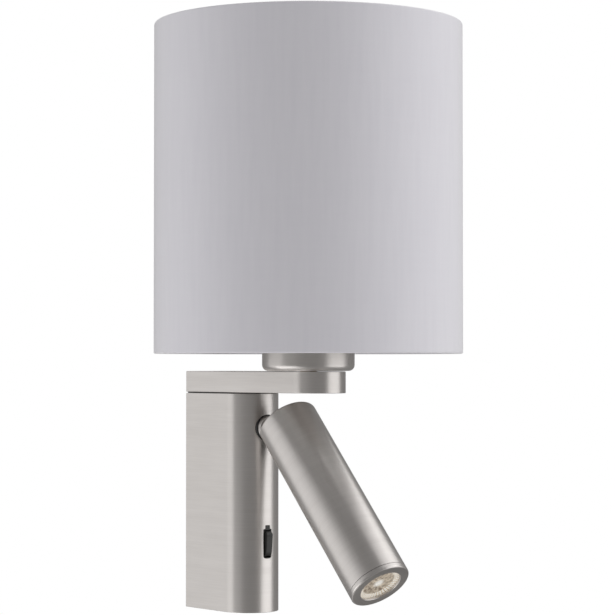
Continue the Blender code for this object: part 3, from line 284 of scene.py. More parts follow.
# ---------------------------------------------------------------- material helpers
class Nodes:
    """A material's node tree, with the Principled shader at hand."""

    def __init__(self, name, **values):
        self.material = bpy.data.materials.new(name)
        self.material.use_nodes = True
        self.tree = self.material.node_tree
        self.shader = self.tree.nodes["Principled BSDF"]
        for key, value in values.items():
            self.shader.inputs[key.replace("_", " ")].default_value = value

    def add(self, kind, inputs=None, **settings):
        node = self.tree.nodes.new(kind)
        for key, value in settings.items():
            setattr(node, key, value)
        for key, value in (inputs or {}).items():
            self.put(node.inputs[key], value)
        return node

    def put(self, socket, value):
        if isinstance(value, bpy.types.NodeSocket):
            self.tree.links.new(value, socket)
        else:
            socket.default_value = value

    def feed(self, name, value):
        self.put(self.shader.inputs[name], value)

    def place(self, scale=(1, 1, 1)):
        """Object coordinates, in metres, stretched."""
        where = self.add("ShaderNodeTexCoord").outputs["Object"]
        return self.add("ShaderNodeMapping", {"Vector": where, "Scale": scale}).outputs["Vector"]

    def noise(self, scale, detail=2.0, rough=0.5, stretch=(1, 1, 1)):
        inputs = {"Vector": self.place(stretch), "Scale": scale, "Detail": detail, "Roughness": rough}
        return self.add("ShaderNodeTexNoise", inputs).outputs["Fac"]

    def spread(self, value, low, high, start=0.3, end=0.7):
        """Carries a noise value from its usual span to low..high."""
        inputs = {"Value": value, "From Min": start, "From Max": end, "To Min": low, "To Max": high}
        return self.add("ShaderNodeMapRange", inputs).outputs["Result"]

    def calc(self, a, b, operation="ADD"):
        """One step of arithmetic on two values, each a number or a socket."""
        node = self.add("ShaderNodeMath", operation=operation)
        self.put(node.inputs[0], a)
        self.put(node.inputs[1], b)
        return node.outputs[0]

    def times(self, a, b):
        return self.calc(a, b, "MULTIPLY")

    def sine(self, a):
        return self.calc(a, 0, "SINE")

    def blend(self, share, a, b):
        """Mixes two colours, each three numbers or a socket."""
        node = self.add("ShaderNodeMix", data_type="RGBA")
        self.put(node.inputs[0], share)
        for socket, colour in ((node.inputs[6], a), (node.inputs[7], b)):
            self.put(socket, colour if isinstance(colour, bpy.types.NodeSocket) else (*colour, 1))
        return node.outputs[2]

    def bump(self, height, distance, strength=1.0):
        inputs = {"Height": height, "Distance": distance, "Strength": strength}
        self.feed("Normal", self.add("ShaderNodeBump", inputs).outputs["Normal"])


def brushed(name, dark, light, roughness, anisotropy=0.5, fine=1400, level=False):
    """Metal with fine brush lines round its own Z axis, or level ones on a piece that isn't turned."""
    nodes = Nodes(name, Metallic=1.0, Anisotropic=anisotropy, Anisotropic_Rotation=0.25)
    lines = nodes.noise(1, 3.0, 0.6, (40, 40, fine))
    long_lines = nodes.noise(1, 2.0, 0.5, (12, 12, fine / 6))
    cloud = nodes.noise(28, 3.0, 0.55)
    grain = nodes.calc(nodes.times(lines, 0.6), nodes.times(long_lines, 0.4))
    share = nodes.calc(nodes.times(grain, 0.8), nodes.times(cloud, 0.2))
    nodes.feed("Base Color", nodes.blend(nodes.spread(share, 0, 1), dark, light))
    nodes.feed("Roughness", nodes.spread(share, roughness + 0.05, roughness - 0.04))
    nodes.bump(grain, 0.012 * MM, 0.2)
    if level:
        # Crossed with a line a hair off upright, so that a level face has lines too, along the arm.
        along = nodes.add("ShaderNodeVectorMath", operation="CROSS_PRODUCT")
        nodes.put(along.inputs[0], nodes.add("ShaderNodeNewGeometry").outputs["Normal"])
        nodes.put(along.inputs[1], (0.001, 0, 1))
        nodes.feed("Tangent", along.outputs["Vector"])
    else:
        tangent = nodes.add("ShaderNodeTangent", direction_type="RADIAL", axis="Z")
        nodes.feed("Tangent", tangent.outputs["Tangent"])
    return nodes.material


def cast(name, dark, light, roughness, metallic=0.0, grain=2500, depth=0.01, **values):
    """A plain surface with fine grain and soft unevenness: moulded plastic, plated steel, ceramic."""
    nodes = Nodes(name, Metallic=metallic, **values)
    fine = nodes.noise(grain, 3.0, 0.6)
    cloud = nodes.noise(70, 3.0, 0.6)
    nodes.feed("Base Color", nodes.blend(nodes.spread(cloud, 0, 1), dark, light))
    nodes.feed("Roughness", nodes.spread(fine, roughness - 0.05, roughness + 0.07))
    nodes.bump(fine, depth * MM, 0.4)
    return nodes.material


def weave(name, dark, light, threads):
    """Plain-woven cloth round the drum, with so many threads to the metre: ridges both ways, and slubs."""
    nodes = Nodes(name, Roughness=0.85, Sheen_Weight=0.9, Sheen_Roughness=0.5)
    where = nodes.add("ShaderNodeTexCoord").outputs["Object"]
    parts = nodes.add("ShaderNodeSeparateXYZ", {"Vector": where})
    angle = nodes.calc(parts.outputs["Y"], parts.outputs["X"], "ARCTAN2")
    radius = (SHADE_HIGH.x - SHADE_LOW.x) / 2
    across = nodes.times(angle, TURN * round(threads * radius))
    along = nodes.times(parts.outputs["Z"], TURN * threads)
    ridges = []
    for ridge_at, other in ((across, along), (along, across)):
        over = nodes.sine(nodes.times(other, 0.5))
        ridges.append(nodes.calc(nodes.sine(ridge_at), nodes.times(over, 0.35)))
    warp_slubs = nodes.noise(1, 3.0, 0.6, (260, 260, 22))
    weft_slubs = nodes.noise(1, 3.0, 0.6, (30, 30, 420))
    slubs = nodes.calc(warp_slubs, nodes.times(weft_slubs, 0.25))
    ground = nodes.times(nodes.calc(*ridges), 0.25)
    height = nodes.calc(nodes.times(ground, 0.35), slubs)
    nodes.feed("Base Color", nodes.blend(nodes.spread(slubs, 0, 1, 0.35, 0.9), dark, light))
    nodes.bump(height, 0.03 * MM, 0.35)
    return nodes.material


NICKEL_TONES = (0.60, 0.572, 0.552), (0.66, 0.632, 0.612), 0.36
NICKEL = brushed("satin_nickel", *NICKEL_TONES)
NICKEL_FLAT = brushed("satin_nickel_level", *NICKEL_TONES, level=True)
# A darker copy of the satin nickel for the bezel's end face: painted shade, where that face turns away downwards.
NICKEL_SHADED_END = brushed("satin_nickel_painted_shade_end", (0.43, 0.41, 0.395), (0.50, 0.475, 0.455), 0.34)
STEEL = cast("zinc_plated_steel", (0.52, 0.53, 0.55), (0.66, 0.66, 0.65), 0.4, 1.0, 900, 0.02)
BRASS = cast("brass", (0.62, 0.47, 0.22), (0.75, 0.60, 0.32), 0.32, 1.0)
ALUMINIUM = brushed("turned_aluminium", (0.62, 0.63, 0.64), (0.76, 0.77, 0.78), 0.35, 0.5, 5000)
BLACK = cast("black_plastic", (0.012, 0.012, 0.012), (0.022, 0.021, 0.020), 0.42, grain=3500, depth=0.03)
WHITE = cast(
    "white_plastic", (0.78, 0.775, 0.75), (0.84, 0.835, 0.815), 0.38, grain=3000, Subsurface_Weight=0.05
)
CERAMIC = cast("ceramic", (0.78, 0.75, 0.70), (0.86, 0.84, 0.80), 0.3, grain=1200, Coat_Weight=0.3)
FABRIC = weave("shade_cloth", (0.90, 0.885, 0.95), (0.945, 0.93, 0.99), 1400)
LINING = cast("shade_lining", (0.80, 0.80, 0.79), (0.86, 0.86, 0.85), 0.35, grain=600, depth=0.03)
WHITE_WIRE = cast("white_coated_wire", (0.76, 0.76, 0.75), (0.84, 0.84, 0.83), 0.42, grain=1500, depth=0.04)
OPAL = cast("opal_glass", (0.88, 0.88, 0.86), (0.93, 0.93, 0.91), 0.22, grain=400, Subsurface_Weight=0.2)
PHOSPHOR = cast("led_phosphor", (0.80, 0.60, 0.10), (0.90, 0.72, 0.20), 0.4, Coat_Weight=0.5)
BOARD = cast("circuit_board", (0.80, 0.80, 0.78), (0.88, 0.88, 0.86), 0.45)
BROWN_WIRE = cast("brown_sleeving", (0.16, 0.06, 0.03), (0.24, 0.10, 0.05), 0.5)
BLUE_WIRE = cast("blue_sleeving", (0.03, 0.09, 0.38), (0.05, 0.14, 0.48), 0.5)
MIRROR = cast("metallised_reflector", (0.86, 0.80, 0.70), (0.94, 0.90, 0.82), 0.10, 1.0, 800, 0.03)


def clear_material():
    nodes = Nodes("clear_lens", IOR=1.49, Transmission_Weight=1.0, Coat_Weight=0.2)
    nodes.feed("Base Color", nodes.blend(nodes.noise(90), (0.95, 0.96, 0.95), (0.99, 0.99, 0.98)))
    nodes.feed("Roughness", nodes.spread(nodes.noise(500, 3.0), 0.02, 0.05))
    return nodes.material


def moulded_painted_light(opening):
    """The back of the lens, moulded with flutes and facets: a pale fluted rim round warm brown facets, and a white
    centre. The pale rim is painted reflection, the white centre a painted highlight, and the face has a faint
    painted glow in place of reflections.
    """
    # The emission is a painted glow that stands in for reflections.
    nodes = Nodes("moulded_lens_back_painted_light", Metallic=0.2, Emission_Strength=0.55)
    where = nodes.add("ShaderNodeTexCoord").outputs["Object"]
    parts = nodes.add("ShaderNodeSeparateXYZ", {"Vector": where})
    x, y = parts.outputs["X"], parts.outputs["Y"]
    angle = nodes.calc(y, x, "ARCTAN2")
    out = nodes.add("ShaderNodeVectorMath", operation="LENGTH")
    nodes.put(out.inputs[0], nodes.add("ShaderNodeCombineXYZ", {"X": x, "Y": y}).outputs["Vector"])
    share = nodes.calc(out.outputs["Value"], opening, "DIVIDE")
    flutes = nodes.spread(nodes.sine(nodes.times(angle, 44)), 0, 1, -0.9, 0.1)
    facets = nodes.spread(nodes.sine(nodes.times(angle, 13)), 0, 1, -0.6, 0.6)
    patches = nodes.spread(nodes.noise(420, 4.0, 0.7), 0, 1, 0.40, 0.60)
    # The rim's pale flutes are painted reflection.
    rim = nodes.blend(flutes, (0.52, 0.42, 0.29), (1.0, 0.97, 0.91))
    middle = nodes.blend(patches, (0.17, 0.12, 0.08), (0.56, 0.48, 0.38))
    middle = nodes.blend(nodes.times(facets, 0.22), middle, (0.85, 0.78, 0.66))
    # The white centre is a painted highlight.
    centre = nodes.blend(nodes.spread(share, 1, 0, 0.12, 0.32), middle, (1.0, 0.98, 0.94))
    colour = nodes.blend(nodes.spread(share, 0, 1, 0.74, 0.82), centre, rim)
    nodes.feed("Base Color", colour)
    nodes.feed("Emission Color", colour)
    nodes.feed("Roughness", nodes.spread(patches, 0.18, 0.35, 0, 1))
    nodes.bump(nodes.calc(flutes, nodes.times(facets, 2)), 0.1 * MM, 0.6)
    return nodes.material


LENS_OPENING_R = 12.35 * MM
CLEAR = clear_material()
MOULDED_PAINTED_LIGHT = moulded_painted_light(LENS_OPENING_R)
PAINT = {
    "satin_nickel": NICKEL,
    "zinc_steel": STEEL,
    "brass": BRASS,
    "aluminium": ALUMINIUM,
    "black_plastic": BLACK,
    "white_plastic": WHITE,
    "ceramic": CERAMIC,
    "shade_fabric": FABRIC,
    "white_wire": WHITE_WIRE,
    "opal_glass": OPAL,
    "clear_lens": CLEAR,
    "reflector": MIRROR,
    "led_phosphor": PHOSPHOR,
    "circuit_board": BOARD,
    "brown_wire": BROWN_WIRE,
    "blue_wire": BLUE_WIRE,
}


EASED = (
    "wall_bracket",
    "driver_case",
    "driver_lid",
    "terminal_block",
    "switch_terminal_1",
    "switch_terminal_2",
    "housing_top_plate",
)


def paint_cad_nodes():
    """Every CAD node takes its slot's material; the flat-sided hidden ones get a small rounded edge."""
    for name, node in frame["nodes"].items():
        node.data.materials.clear()
        node.data.materials.append(PAINT[SLOT_OF[name]])
        if name in EASED:
            ease = node.modifiers.new("edge", "BEVEL")
            ease.width = EDGE
            ease.segments = 2
            ease.limit_method = "ANGLE"
            ease.angle_limit = SHARP


# ---------------------------------------------------------------- housing and arm
HOUSING_WALL = 1.8 * MM
SWIVEL_HOLE_R = 8 * MM
SWITCH_KEY = 2.2 * MM  # height of the narrow key on top of the switch
SWITCH_KEY_HALF = 1.65 * MM
SLOT_HALF, SLOT_KEY_HALF = 3.1 * MM, 1.8 * MM
SLOT_GAP = 0.15 * MM  # above and below the switch
LOCK_HOLE_R = 1.8 * MM
LOCK_SHANK_R = 1.5 * MM
LOCK_HEAD = 1.6 * MM
LOCK_DRIVE_R = 1.25 * MM  # the hexagon in its head, over the corners
ARM_WALL = 2 * MM
ARM_EDGE = 0.35 * MM
NIPPLE_HOLE_R = 5.2 * MM
PLATE_HOLES = ((-31, 5), (-14, 2.3), (-40, 2.3))  # y and radius in mm: the lead's, then the screws'
SEAM_INSET, SEAM_WIDTH, SEAM_FIT = 0.9 * MM, 1.6 * MM, 0.04 * MM


def switch_outline(half, key_half, low, key_low, high):
    """The switch from the front: rounded at its foot and shoulders, with a narrow key on top."""
    foot, shoulder, tip = 1.8 * MM, 0.9 * MM, 0.5 * MM
    right = [(half, low, foot), (half, key_low, shoulder), (key_half, key_low, 0), (key_half, high, tip)]
    return rounded(right + [(-x, z, radius) for x, z, radius in right[::-1]])


def make_housing():
    low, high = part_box("housing_shell")
    half = high.x
    nose_y = low.y + half
    outline = round_front(half, nose_y, high.y) + round_front(half - HOUSING_WALL, nose_y, high.y)[::-1]
    shell = piece("housing", prism(outline, low.z, high.z), nodes=["housing_shell"], paint=NICKEL_FLAT)
    cut(shell, bar_shape(SWIVEL_HOLE_R, -low.y - 3 * half / 4, -low.y + half), SWIVEL)
    body_low, body_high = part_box("switch_body")
    bottom, top = body_low.z - SLOT_GAP, body_high.z + SLOT_GAP
    slot = switch_outline(SLOT_HALF, SLOT_KEY_HALF, bottom, top - SWITCH_KEY, top)
    cut(shell, prism(slot, low.y - half / 2, low.y + half / 2, 0), UPRIGHT)


def make_bottom_cap():
    """The plate that closes the housing's foot, and the screw through it that locks the bracket."""
    low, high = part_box("housing_bottom_cap")
    outline = round_front(high.x, low.y + high.x, high.y)
    cap = piece(
        "bottom_cap", prism(outline, low.z, high.z), nodes=["housing_bottom_cap"], paint=NICKEL_FLAT
    )
    screw_low, screw_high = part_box("bracket_lock_screw")
    at = Matrix.Translation((0, (screw_low.y + screw_high.y) / 2, 0))
    cut(cap, bar_shape(LOCK_HOLE_R, low.z - MM, high.z + MM, SMALL_SIDES), at)

    radius, bottom = (screw_high.x - screw_low.x) / 2, screw_low.z
    corners = [
        (0, bottom + 0.25 * MM, 0),
        (radius * 0.6, bottom, 0.8 * MM),
        (radius, bottom + 0.35 * LOCK_HEAD, 0.4 * MM),
        (radius, bottom + LOCK_HEAD, 0.1 * MM),
        (LOCK_SHANK_R, bottom + LOCK_HEAD, 0),
        (LOCK_SHANK_R, screw_high.z, 0.3 * MM),
        (0, screw_high.z, 0),
    ]
    turned = lathed(rounded(corners, False), False, SMALL_SIDES)
    screw = piece("lock_screw", turned, at, nodes=["bracket_lock_screw"], paint=NICKEL)
    turns = [TURN * i / 6 for i in range(6)]
    hexagon = [(LOCK_DRIVE_R * math.cos(a), LOCK_DRIVE_R * math.sin(a)) for a in turns]
    cut(screw, prism(hexagon, bottom - MM, bottom + 0.8 * LOCK_HEAD, 0), at)


def make_arm():
    low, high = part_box("arm_shell")
    half = high.x
    nose_y = low.y + half
    outside = prism(round_front(half, nose_y, high.y), low.z, high.z, ARM_EDGE)
    shell = piece("arm", outside, nodes=["arm_shell"], paint=NICKEL_FLAT)
    room = round_front(half - ARM_WALL, nose_y, high.y - ARM_WALL)
    cut(shell, prism(room, low.z - ARM_WALL, high.z - ARM_WALL, 0))
    cut(shell, bar_shape(NIPPLE_HOLE_R, low.z, high.z + ARM_WALL, 64), LAMP)

    low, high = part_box("arm_base_plate")
    outside = prism(round_front(high.x, low.y + high.x, high.y), low.z, high.z)
    plate = piece("arm_plate", outside, nodes=["arm_base_plate"], paint=NICKEL_FLAT)
    for y, radius in PLATE_HOLES:
        hole = bar_shape(radius * MM, low.z - MM, high.z + MM, SMALL_SIDES)
        cut(plate, hole, Matrix.Translation((0, y * MM, 0)))
    make_seam_shadow_strip(half, low.z)


def make_seam_shadow_strip(half, arm_low):
    """A black strip in the seam between the housing and the arm: painted shade, a dark piece that stands for the
    seam's shadow and also keeps light from coming through the gap.
    """
    low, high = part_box("housing_shell")
    rings = []
    for inset in (SEAM_INSET, SEAM_INSET + SEAM_WIDTH):
        rings.append(round_front(half - inset, low.y + half, -inset))
    outside = prism(rings[0], high.z + SEAM_FIT, arm_low - SEAM_FIT, 0)
    strip = piece("seam_shadow_strip", outside, body="lamp_body", paint=BLACK, weighted=False)
    cut(strip, prism(rings[1], high.z - MM, arm_low + MM, 0))


# ---------------------------------------------------------------- cup, lampholder and bulb
CUP_WALL, CUP_BEND = 1.2 * MM, 3.5 * MM
HOLDER_WALL = 2.2 * MM
HOLDER_FOOT_R, HOLDER_FOOT_RISE = 14 * MM, 6 * MM
HOLDER_PITCH, HOLDER_GROOVE = 2.5 * MM, 0.7 * MM
CAP_PITCH, CAP_WAVE = 3.6 * MM, 0.45 * MM
CONTACT_R, GLASS_R = 4.2 * MM, 8 * MM  # the lamp cap's end
BULB_NECK_R, BULB_FLARE_R = 14 * MM, 15.4 * MM


def make_cup():
    low, high, hole, radius = span("lamp_cup", LAMP)
    corners = [
        (radius, high, 0.4 * MM),
        (radius, low, CUP_BEND),
        (hole, low, 0.2 * MM),
        (hole, low + CUP_WALL, 0.2 * MM),
        (radius - CUP_WALL, low + CUP_WALL, CUP_BEND - CUP_WALL),
        (radius - CUP_WALL, high, 0.4 * MM),
    ]
    piece("cup", lathed(rounded(corners), sides=144), LAMP, nodes=["lamp_cup"], paint=NICKEL)


def make_lampholder():
    low, high, hole, radius = span("lampholder_base", LAMP)
    rise, floor = low + HOLDER_FOOT_RISE, low + HOLDER_WALL
    corners = [
        (radius, high, 0.3 * MM),
        (radius, rise, 3 * MM),
        (HOLDER_FOOT_R, low, 2 * MM),
        (hole, low, 0.3 * MM),
        (hole, floor, 0.3 * MM),
        (HOLDER_FOOT_R, floor, MM),
        (radius - HOLDER_WALL, rise + MM, MM),
        (radius - HOLDER_WALL, high, 0.3 * MM),
    ]
    piece("holder_base", lathed(rounded(corners)), LAMP, nodes=["lampholder_base"], paint=WHITE)

    low, high, inner, radius = span("lampholder_skirt", LAMP)
    start, end = low + 2 * MM, high - 2.5 * MM
    rows = round((end - start) / HOLDER_PITCH * 8)
    outside = [(radius, start + (end - start) * i / rows) for i in range(rows + 1)]

    def thread(angle, out, z):
        if out < radius - SAME or not start < z < end:
            return out
        ease = min(1, (z - start) / HOLDER_PITCH, (end - z) / HOLDER_PITCH)
        turn = (z / HOLDER_PITCH - angle / TURN) % 1
        groove = max(0, 1 - abs(turn - 0.5) / 0.3)
        return out - HOLDER_GROOVE * ease * min(1, 1.6 * groove)

    edge = 0.5 * MM
    profile = [(inner, low + edge), (inner + edge, low), (radius - edge, low), (radius, low + edge)]
    profile += outside
    profile += [(radius, high - edge), (radius - edge, high), (inner + edge, high), (inner, high - edge)]
    piece("holder_skirt", lathed(profile, wave=thread), LAMP, nodes=["lampholder_skirt"], paint=WHITE)


def make_bulb():
    low, high, _, radius = span("bulb_cap", LAMP)
    start, end = low + 5.5 * MM, high - 3 * MM
    rows = round((end - start) / CAP_PITCH * 10)

    def thread(angle, out, z):
        if out < radius - SAME or not start < z < end:
            return out
        return out - CAP_WAVE * (1 - math.cos(TURN * (z / CAP_PITCH - angle / TURN)))

    profile = [(0, low), (CONTACT_R, low), (5 * MM, low + 0.5 * MM), (5.4 * MM, low + 1.4 * MM)]
    profile += [(GLASS_R, low + 1.6 * MM), (radius - 1.2 * MM, low + 4.6 * MM), (radius, start)]
    profile += [(radius, start + (end - start) * i / rows) for i in range(1, rows + 1)]
    profile += [(radius, high - 0.3 * MM), (radius - 0.3 * MM, high), (0, high)]
    piece("screw_cap", lathed(profile, False, 72, thread), LAMP, nodes=["bulb_cap"], paint=ALUMINIUM)

    low, high, _, radius = span("bulb_body", LAMP)
    corners = [
        (0, low, 0),
        (BULB_NECK_R, low, 0.4 * MM),
        (BULB_FLARE_R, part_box("lampholder_skirt")[1].z + MM, 6 * MM),
        (radius, high, 0.3 * MM),
        (0, high, 0),
    ]
    piece("bulb_base", lathed(rounded(corners, False), False), LAMP, nodes=["bulb_body"], paint=WHITE)

    low, high, _, radius = span("bulb_globe", LAMP)
    middle = high - radius
    start = math.degrees(math.asin((low - middle) / radius))
    profile = [(0, low), *arc(0, middle, radius, start, 90, 40)]
    profile[-1] = (0, high)
    piece("globe", lathed(profile, False), LAMP, nodes=["bulb_globe"], paint=OPAL)


# ---------------------------------------------------------------- shade
SHADE_SKIN = 0.8 * MM
SHADE_CLOTH = 0.22 * MM  # where the cloth alone is turned over a wire
HEM_BEND = 0.9 * MM
HEM_ANGLES = (TURN / 4, 2.0, 2.4, 2.8, TURN / 2, 3.5, 3.9, 4.3)  # round the wire, inwards
SEAM_CLOTH, SEAM_RISE = 8 * MM, 0.3 * MM  # width and thickness of the drum's own seam
SEAM_STEPS = 12
FLUSH = 0.02 * MM  # rise of the seam's edges
RING_SIDES = 160
SPIDER_R = 25.2 * MM  # outside of its flat ring
SPIDER_ARM_R = 1.5 * MM
SPIDER_BEND = 8 * MM
WELD_R = 1.75 * MM, 1.7 * MM  # at the flat ring, at the foot ring
NUT_RIBS, NUT_RIB = 40, 0.5 * MM


def make_shade():
    low, high, _, radius = span("shade_fabric", LAMP)
    wire_low, wire_high, wire_in, wire_out = span("shade_top_wire", LAMP)
    wire_r, wire_at = (wire_out - wire_in) / 2, (wire_out + wire_in) / 2
    wire_inset = high - (wire_high + wire_low) / 2
    hem = wire_inset - 0.05 * MM  # outside radius of the cloth turned over a wire

    def turned_end(edge, way):
        """The cloth from the drum's outer face over the wire and down its inner side, as (radius, z)."""
        at = edge - way * wire_inset

        def over_wire(out, angles):
            return [(wire_at + out * math.cos(a), at + way * out * math.sin(a)) for a in angles]

        outer = [(radius, edge - way * 2.2 * MM)]
        for a in (0, 0.35, 0.7, 1.05, TURN / 4):
            outer.append((radius - HEM_BEND * (1 - math.cos(a)), edge - way * HEM_BEND * (1 - math.sin(a))))
        inner = [(radius - SHADE_SKIN, edge - way * depth * MM) for depth in (1.0, 3.2)]
        return outer + over_wire(hem, HEM_ANGLES) + over_wire(hem - SHADE_CLOTH, HEM_ANGLES[::-1]) + inner

    outline = turned_end(high, 1) + turned_end(low, -1)[::-1]
    shade = piece("shade", lathed(outline, sides=192), LAMP, nodes=["shade_fabric"], paint=FABRIC)
    shade.data.materials.append(LINING)
    for face in shade.data.polygons:
        middle = face.center
        out = math.hypot(middle.x, middle.y)
        if out < radius - 0.5 * MM and low + 4 * MM < middle.z < high - 4 * MM:
            face.material_index = 1
    seam = make_shade_seam(low, high, radius)

    for name, node, z in (
        ("top_ring", "shade_top_wire", high - wire_inset),
        ("foot_ring", "shade_foot_wire", low + wire_inset),
    ):
        shape = lathed(arc(wire_at, z, wire_r, 0, 345, 23), sides=RING_SIDES)
        piece(name, shape, LAMP, nodes=[node], paint=WHITE_WIRE)
    make_spider(low + wire_inset, wire_at, wire_r)


def make_shade_seam(low, high, radius):
    """The strip where the drum's cloth laps over itself, up its back."""
    half = SEAM_CLOTH / 2 / radius
    shape = bmesh.new()
    rows = []
    for z in (low + 0.8 * MM, low + 1.4 * MM, high - 1.4 * MM, high - 0.8 * MM):
        row = []
        for i in range(SEAM_STEPS + 1):
            angle = TURN / 4 - half + 2 * half * i / SEAM_STEPS
            inside = 0 < i < SEAM_STEPS and low + MM < z < high - MM
            out = radius + (SEAM_RISE if inside else FLUSH)
            row.append(shape.verts.new((out * math.cos(angle), out * math.sin(angle), z)))
        rows.append(row)
    for below, above in zip(rows, rows[1:]):
        for i in range(SEAM_STEPS):
            shape.faces.new((below[i], below[i + 1], above[i + 1], above[i]))
    seam = piece("shade_seam", shape, LAMP, body="lamp_body", paint=FABRIC)
    return seam


def make_spider(foot_z, wire_at, wire_r):
    """The flat ring between the two shade nuts, with three arms down to the foot ring."""
    gap = 0.3 * MM
    nut_low, _, nut_in, _ = span("shade_nut_upper", LAMP)
    low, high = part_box("shade_nut_lower")[1].z + gap, nut_low - gap
    inner = nut_in + gap
    corners = [
        (SPIDER_R, high, 0.4 * MM),
        (SPIDER_R, low, 0.4 * MM),
        (inner, low, 0.3 * MM),
        (inner, high, 0.3 * MM),
    ]
    parts = [lathed(rounded(corners))]
    middle = (low + high) / 2
    route = [
        (SPIDER_R - MM, middle, 0),
        (SPIDER_R + 7 * MM, middle, SPIDER_BEND),
        (wire_at - 11.7 * MM, foot_z + 3 * MM, SPIDER_BEND),
        (wire_at - 0.8 * wire_r, foot_z, 0),
    ]
    ends = (SPIDER_R - 0.3 * MM, middle), (wire_at - 0.9 * wire_r, foot_z)
    for i in range(3):
        angle = TURN * i / 3 + TURN / 4
        out_there = Vector((math.cos(angle), math.sin(angle), 0))
        up = Vector((0, 0, 1))
        parts.append(swept([out * out_there + z * up for out, z in rounded(route, False)], SPIDER_ARM_R))
        for (out, z), size in zip(ends, WELD_R):
            weld = bmesh.new()
            squash = Matrix.Diagonal((size, size, size * 0.75, 1))
            at = Matrix.Translation(out * out_there + z * up) @ squash
            bmesh.ops.create_uvsphere(weld, u_segments=16, v_segments=10, radius=1, matrix=at)
            parts.append(weld)
    piece("spider", merged(*parts), LAMP, nodes=["shade_spider"], paint=WHITE_WIRE)


def make_shade_nuts():
    for node in ("shade_nut_lower", "shade_nut_upper"):
        low, high, inner, radius = span(node, LAMP)

        def knurl(angle, out, z, radius=radius):
            if out < radius - SAME:
                return out
            return out - NUT_RIB * (0.5 - 0.5 * math.cos(NUT_RIBS * angle)) ** 2

        edge = 0.5 * MM
        profile = [(radius, high - edge), (radius, low + edge), (radius - edge, low), (inner + edge, low)]
        profile += [(inner, low + edge), (inner, high - edge), (inner + edge, high), (radius - edge, high)]
        ring = lathed(profile, sides=8 * NUT_RIBS, wave=knurl)
        piece(node + "_ring", ring, LAMP, nodes=[node], paint=WHITE)


# ---------------------------------------------------------------- switch
SWITCH_WALL, SWITCH_FLOOR = 0.55 * MM, 4 * MM
AXLE_R, AXLE_HALF = 0.9 * MM, 2.7 * MM
AXLE_PLAY = 0.12 * MM  # round it and past its ends, in the frame
ROCKER_HALF, ROCKER_HALF_WIDE = 7.65 * MM, 2.2 * MM
ROCKER_FACE = -5.4 * MM  # from its axle
ROCKER_BACK, ROCKER_BACK_HALF = 2.2 * MM, 3 * MM
RIDGES_AT = 4.4 * MM, 5.3 * MM
RIDGE_RISE, RIDGE_ROOT = 0.16 * MM, 0.2 * MM
RIDGE_FOOT, RIDGE_TOP, RIDGE_HALF = 0.22 * MM, 0.1 * MM, 1.3 * MM


def make_switch():
    low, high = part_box("switch_body")
    half, key_low = high.x, high.z - SWITCH_KEY
    outline = switch_outline(half, SWITCH_KEY_HALF, low.z, key_low, high.z)
    frame_shape = prism(outline, low.y, high.y, 0.12 * MM)
    body = piece("switch_frame", frame_shape, UPRIGHT, nodes=["switch_body"], paint=BLACK)
    room_low = (-half + SWITCH_WALL, low.y - MM, low.z + SWITCH_WALL)
    cut(body, block(room_low, (half - SWITCH_WALL, high.y - SWITCH_FLOOR, key_low - SWITCH_WALL)))

    hinge = Vector(JOINTS["rocker_tip"]["pos_m"])
    lean = math.radians(JOINTS["rocker_tip"]["range_deg"][1] / 2)
    side = Matrix(((0, 0, -1, 0), (0, 1, 0, 0), (1, 0, 0, 0), (0, 0, 0, 1)))
    place = Matrix.Translation(hinge) @ Matrix.Rotation(lean, 4, "X") @ side
    socket = AXLE_HALF + AXLE_PLAY
    cut(body, bar_shape(AXLE_R + AXLE_PLAY, -socket, socket, 32), place)

    corners = [
        (ROCKER_HALF, ROCKER_FACE, 2.4 * MM),
        (-ROCKER_HALF, ROCKER_FACE, 3.4 * MM),
        (-ROCKER_HALF, -1.2 * MM, 0.2 * MM),
        (-ROCKER_BACK_HALF, ROCKER_BACK, 0.4 * MM),
        (ROCKER_BACK_HALF, ROCKER_BACK, 0.4 * MM),
        (ROCKER_HALF, -1.2 * MM, 0.2 * MM),
    ]
    outline = [tuple(point) for point in rounded(corners)]
    parts = [prism(outline, -ROCKER_HALF_WIDE, ROCKER_HALF_WIDE, 0.2 * MM)]
    root, crest = ROCKER_FACE + RIDGE_ROOT, ROCKER_FACE - RIDGE_RISE
    for at in RIDGES_AT:
        offsets = (-RIDGE_FOOT, root), (-RIDGE_TOP, crest), (RIDGE_TOP, crest), (RIDGE_FOOT, root)
        ridge = [(at + along, depth) for along, depth in offsets]
        parts.append(prism(ridge, -RIDGE_HALF, RIDGE_HALF, 0.05 * MM))
    parts.append(bar_shape(AXLE_R, -AXLE_HALF, AXLE_HALF, 32))
    piece("rocker_key", merged(*parts), place, nodes=["rocker"], paint=BLACK)


# ---------------------------------------------------------------- swivel
BUSH_R, BUSH_WALL = 7.9 * MM, 0.5 * MM
BUSH_FLOOR, BUSH_FLANGE = 2.5 * MM, 0.5 * MM
SHANK_R = 4.9 * MM
BOSS_PLAY = 0.12 * MM  # round the boss, in the bush
BOSS_GAP = 0.3 * MM  # behind it
BOSS_PROUD = 2.5 * MM  # of the housing's front
TONGUE_R, TONGUE_HALF = 5.5 * MM, 2.5 * MM
TONGUE_ROOT = 2 * MM  # into the boss
TILT_HOLE_R = 2.12 * MM


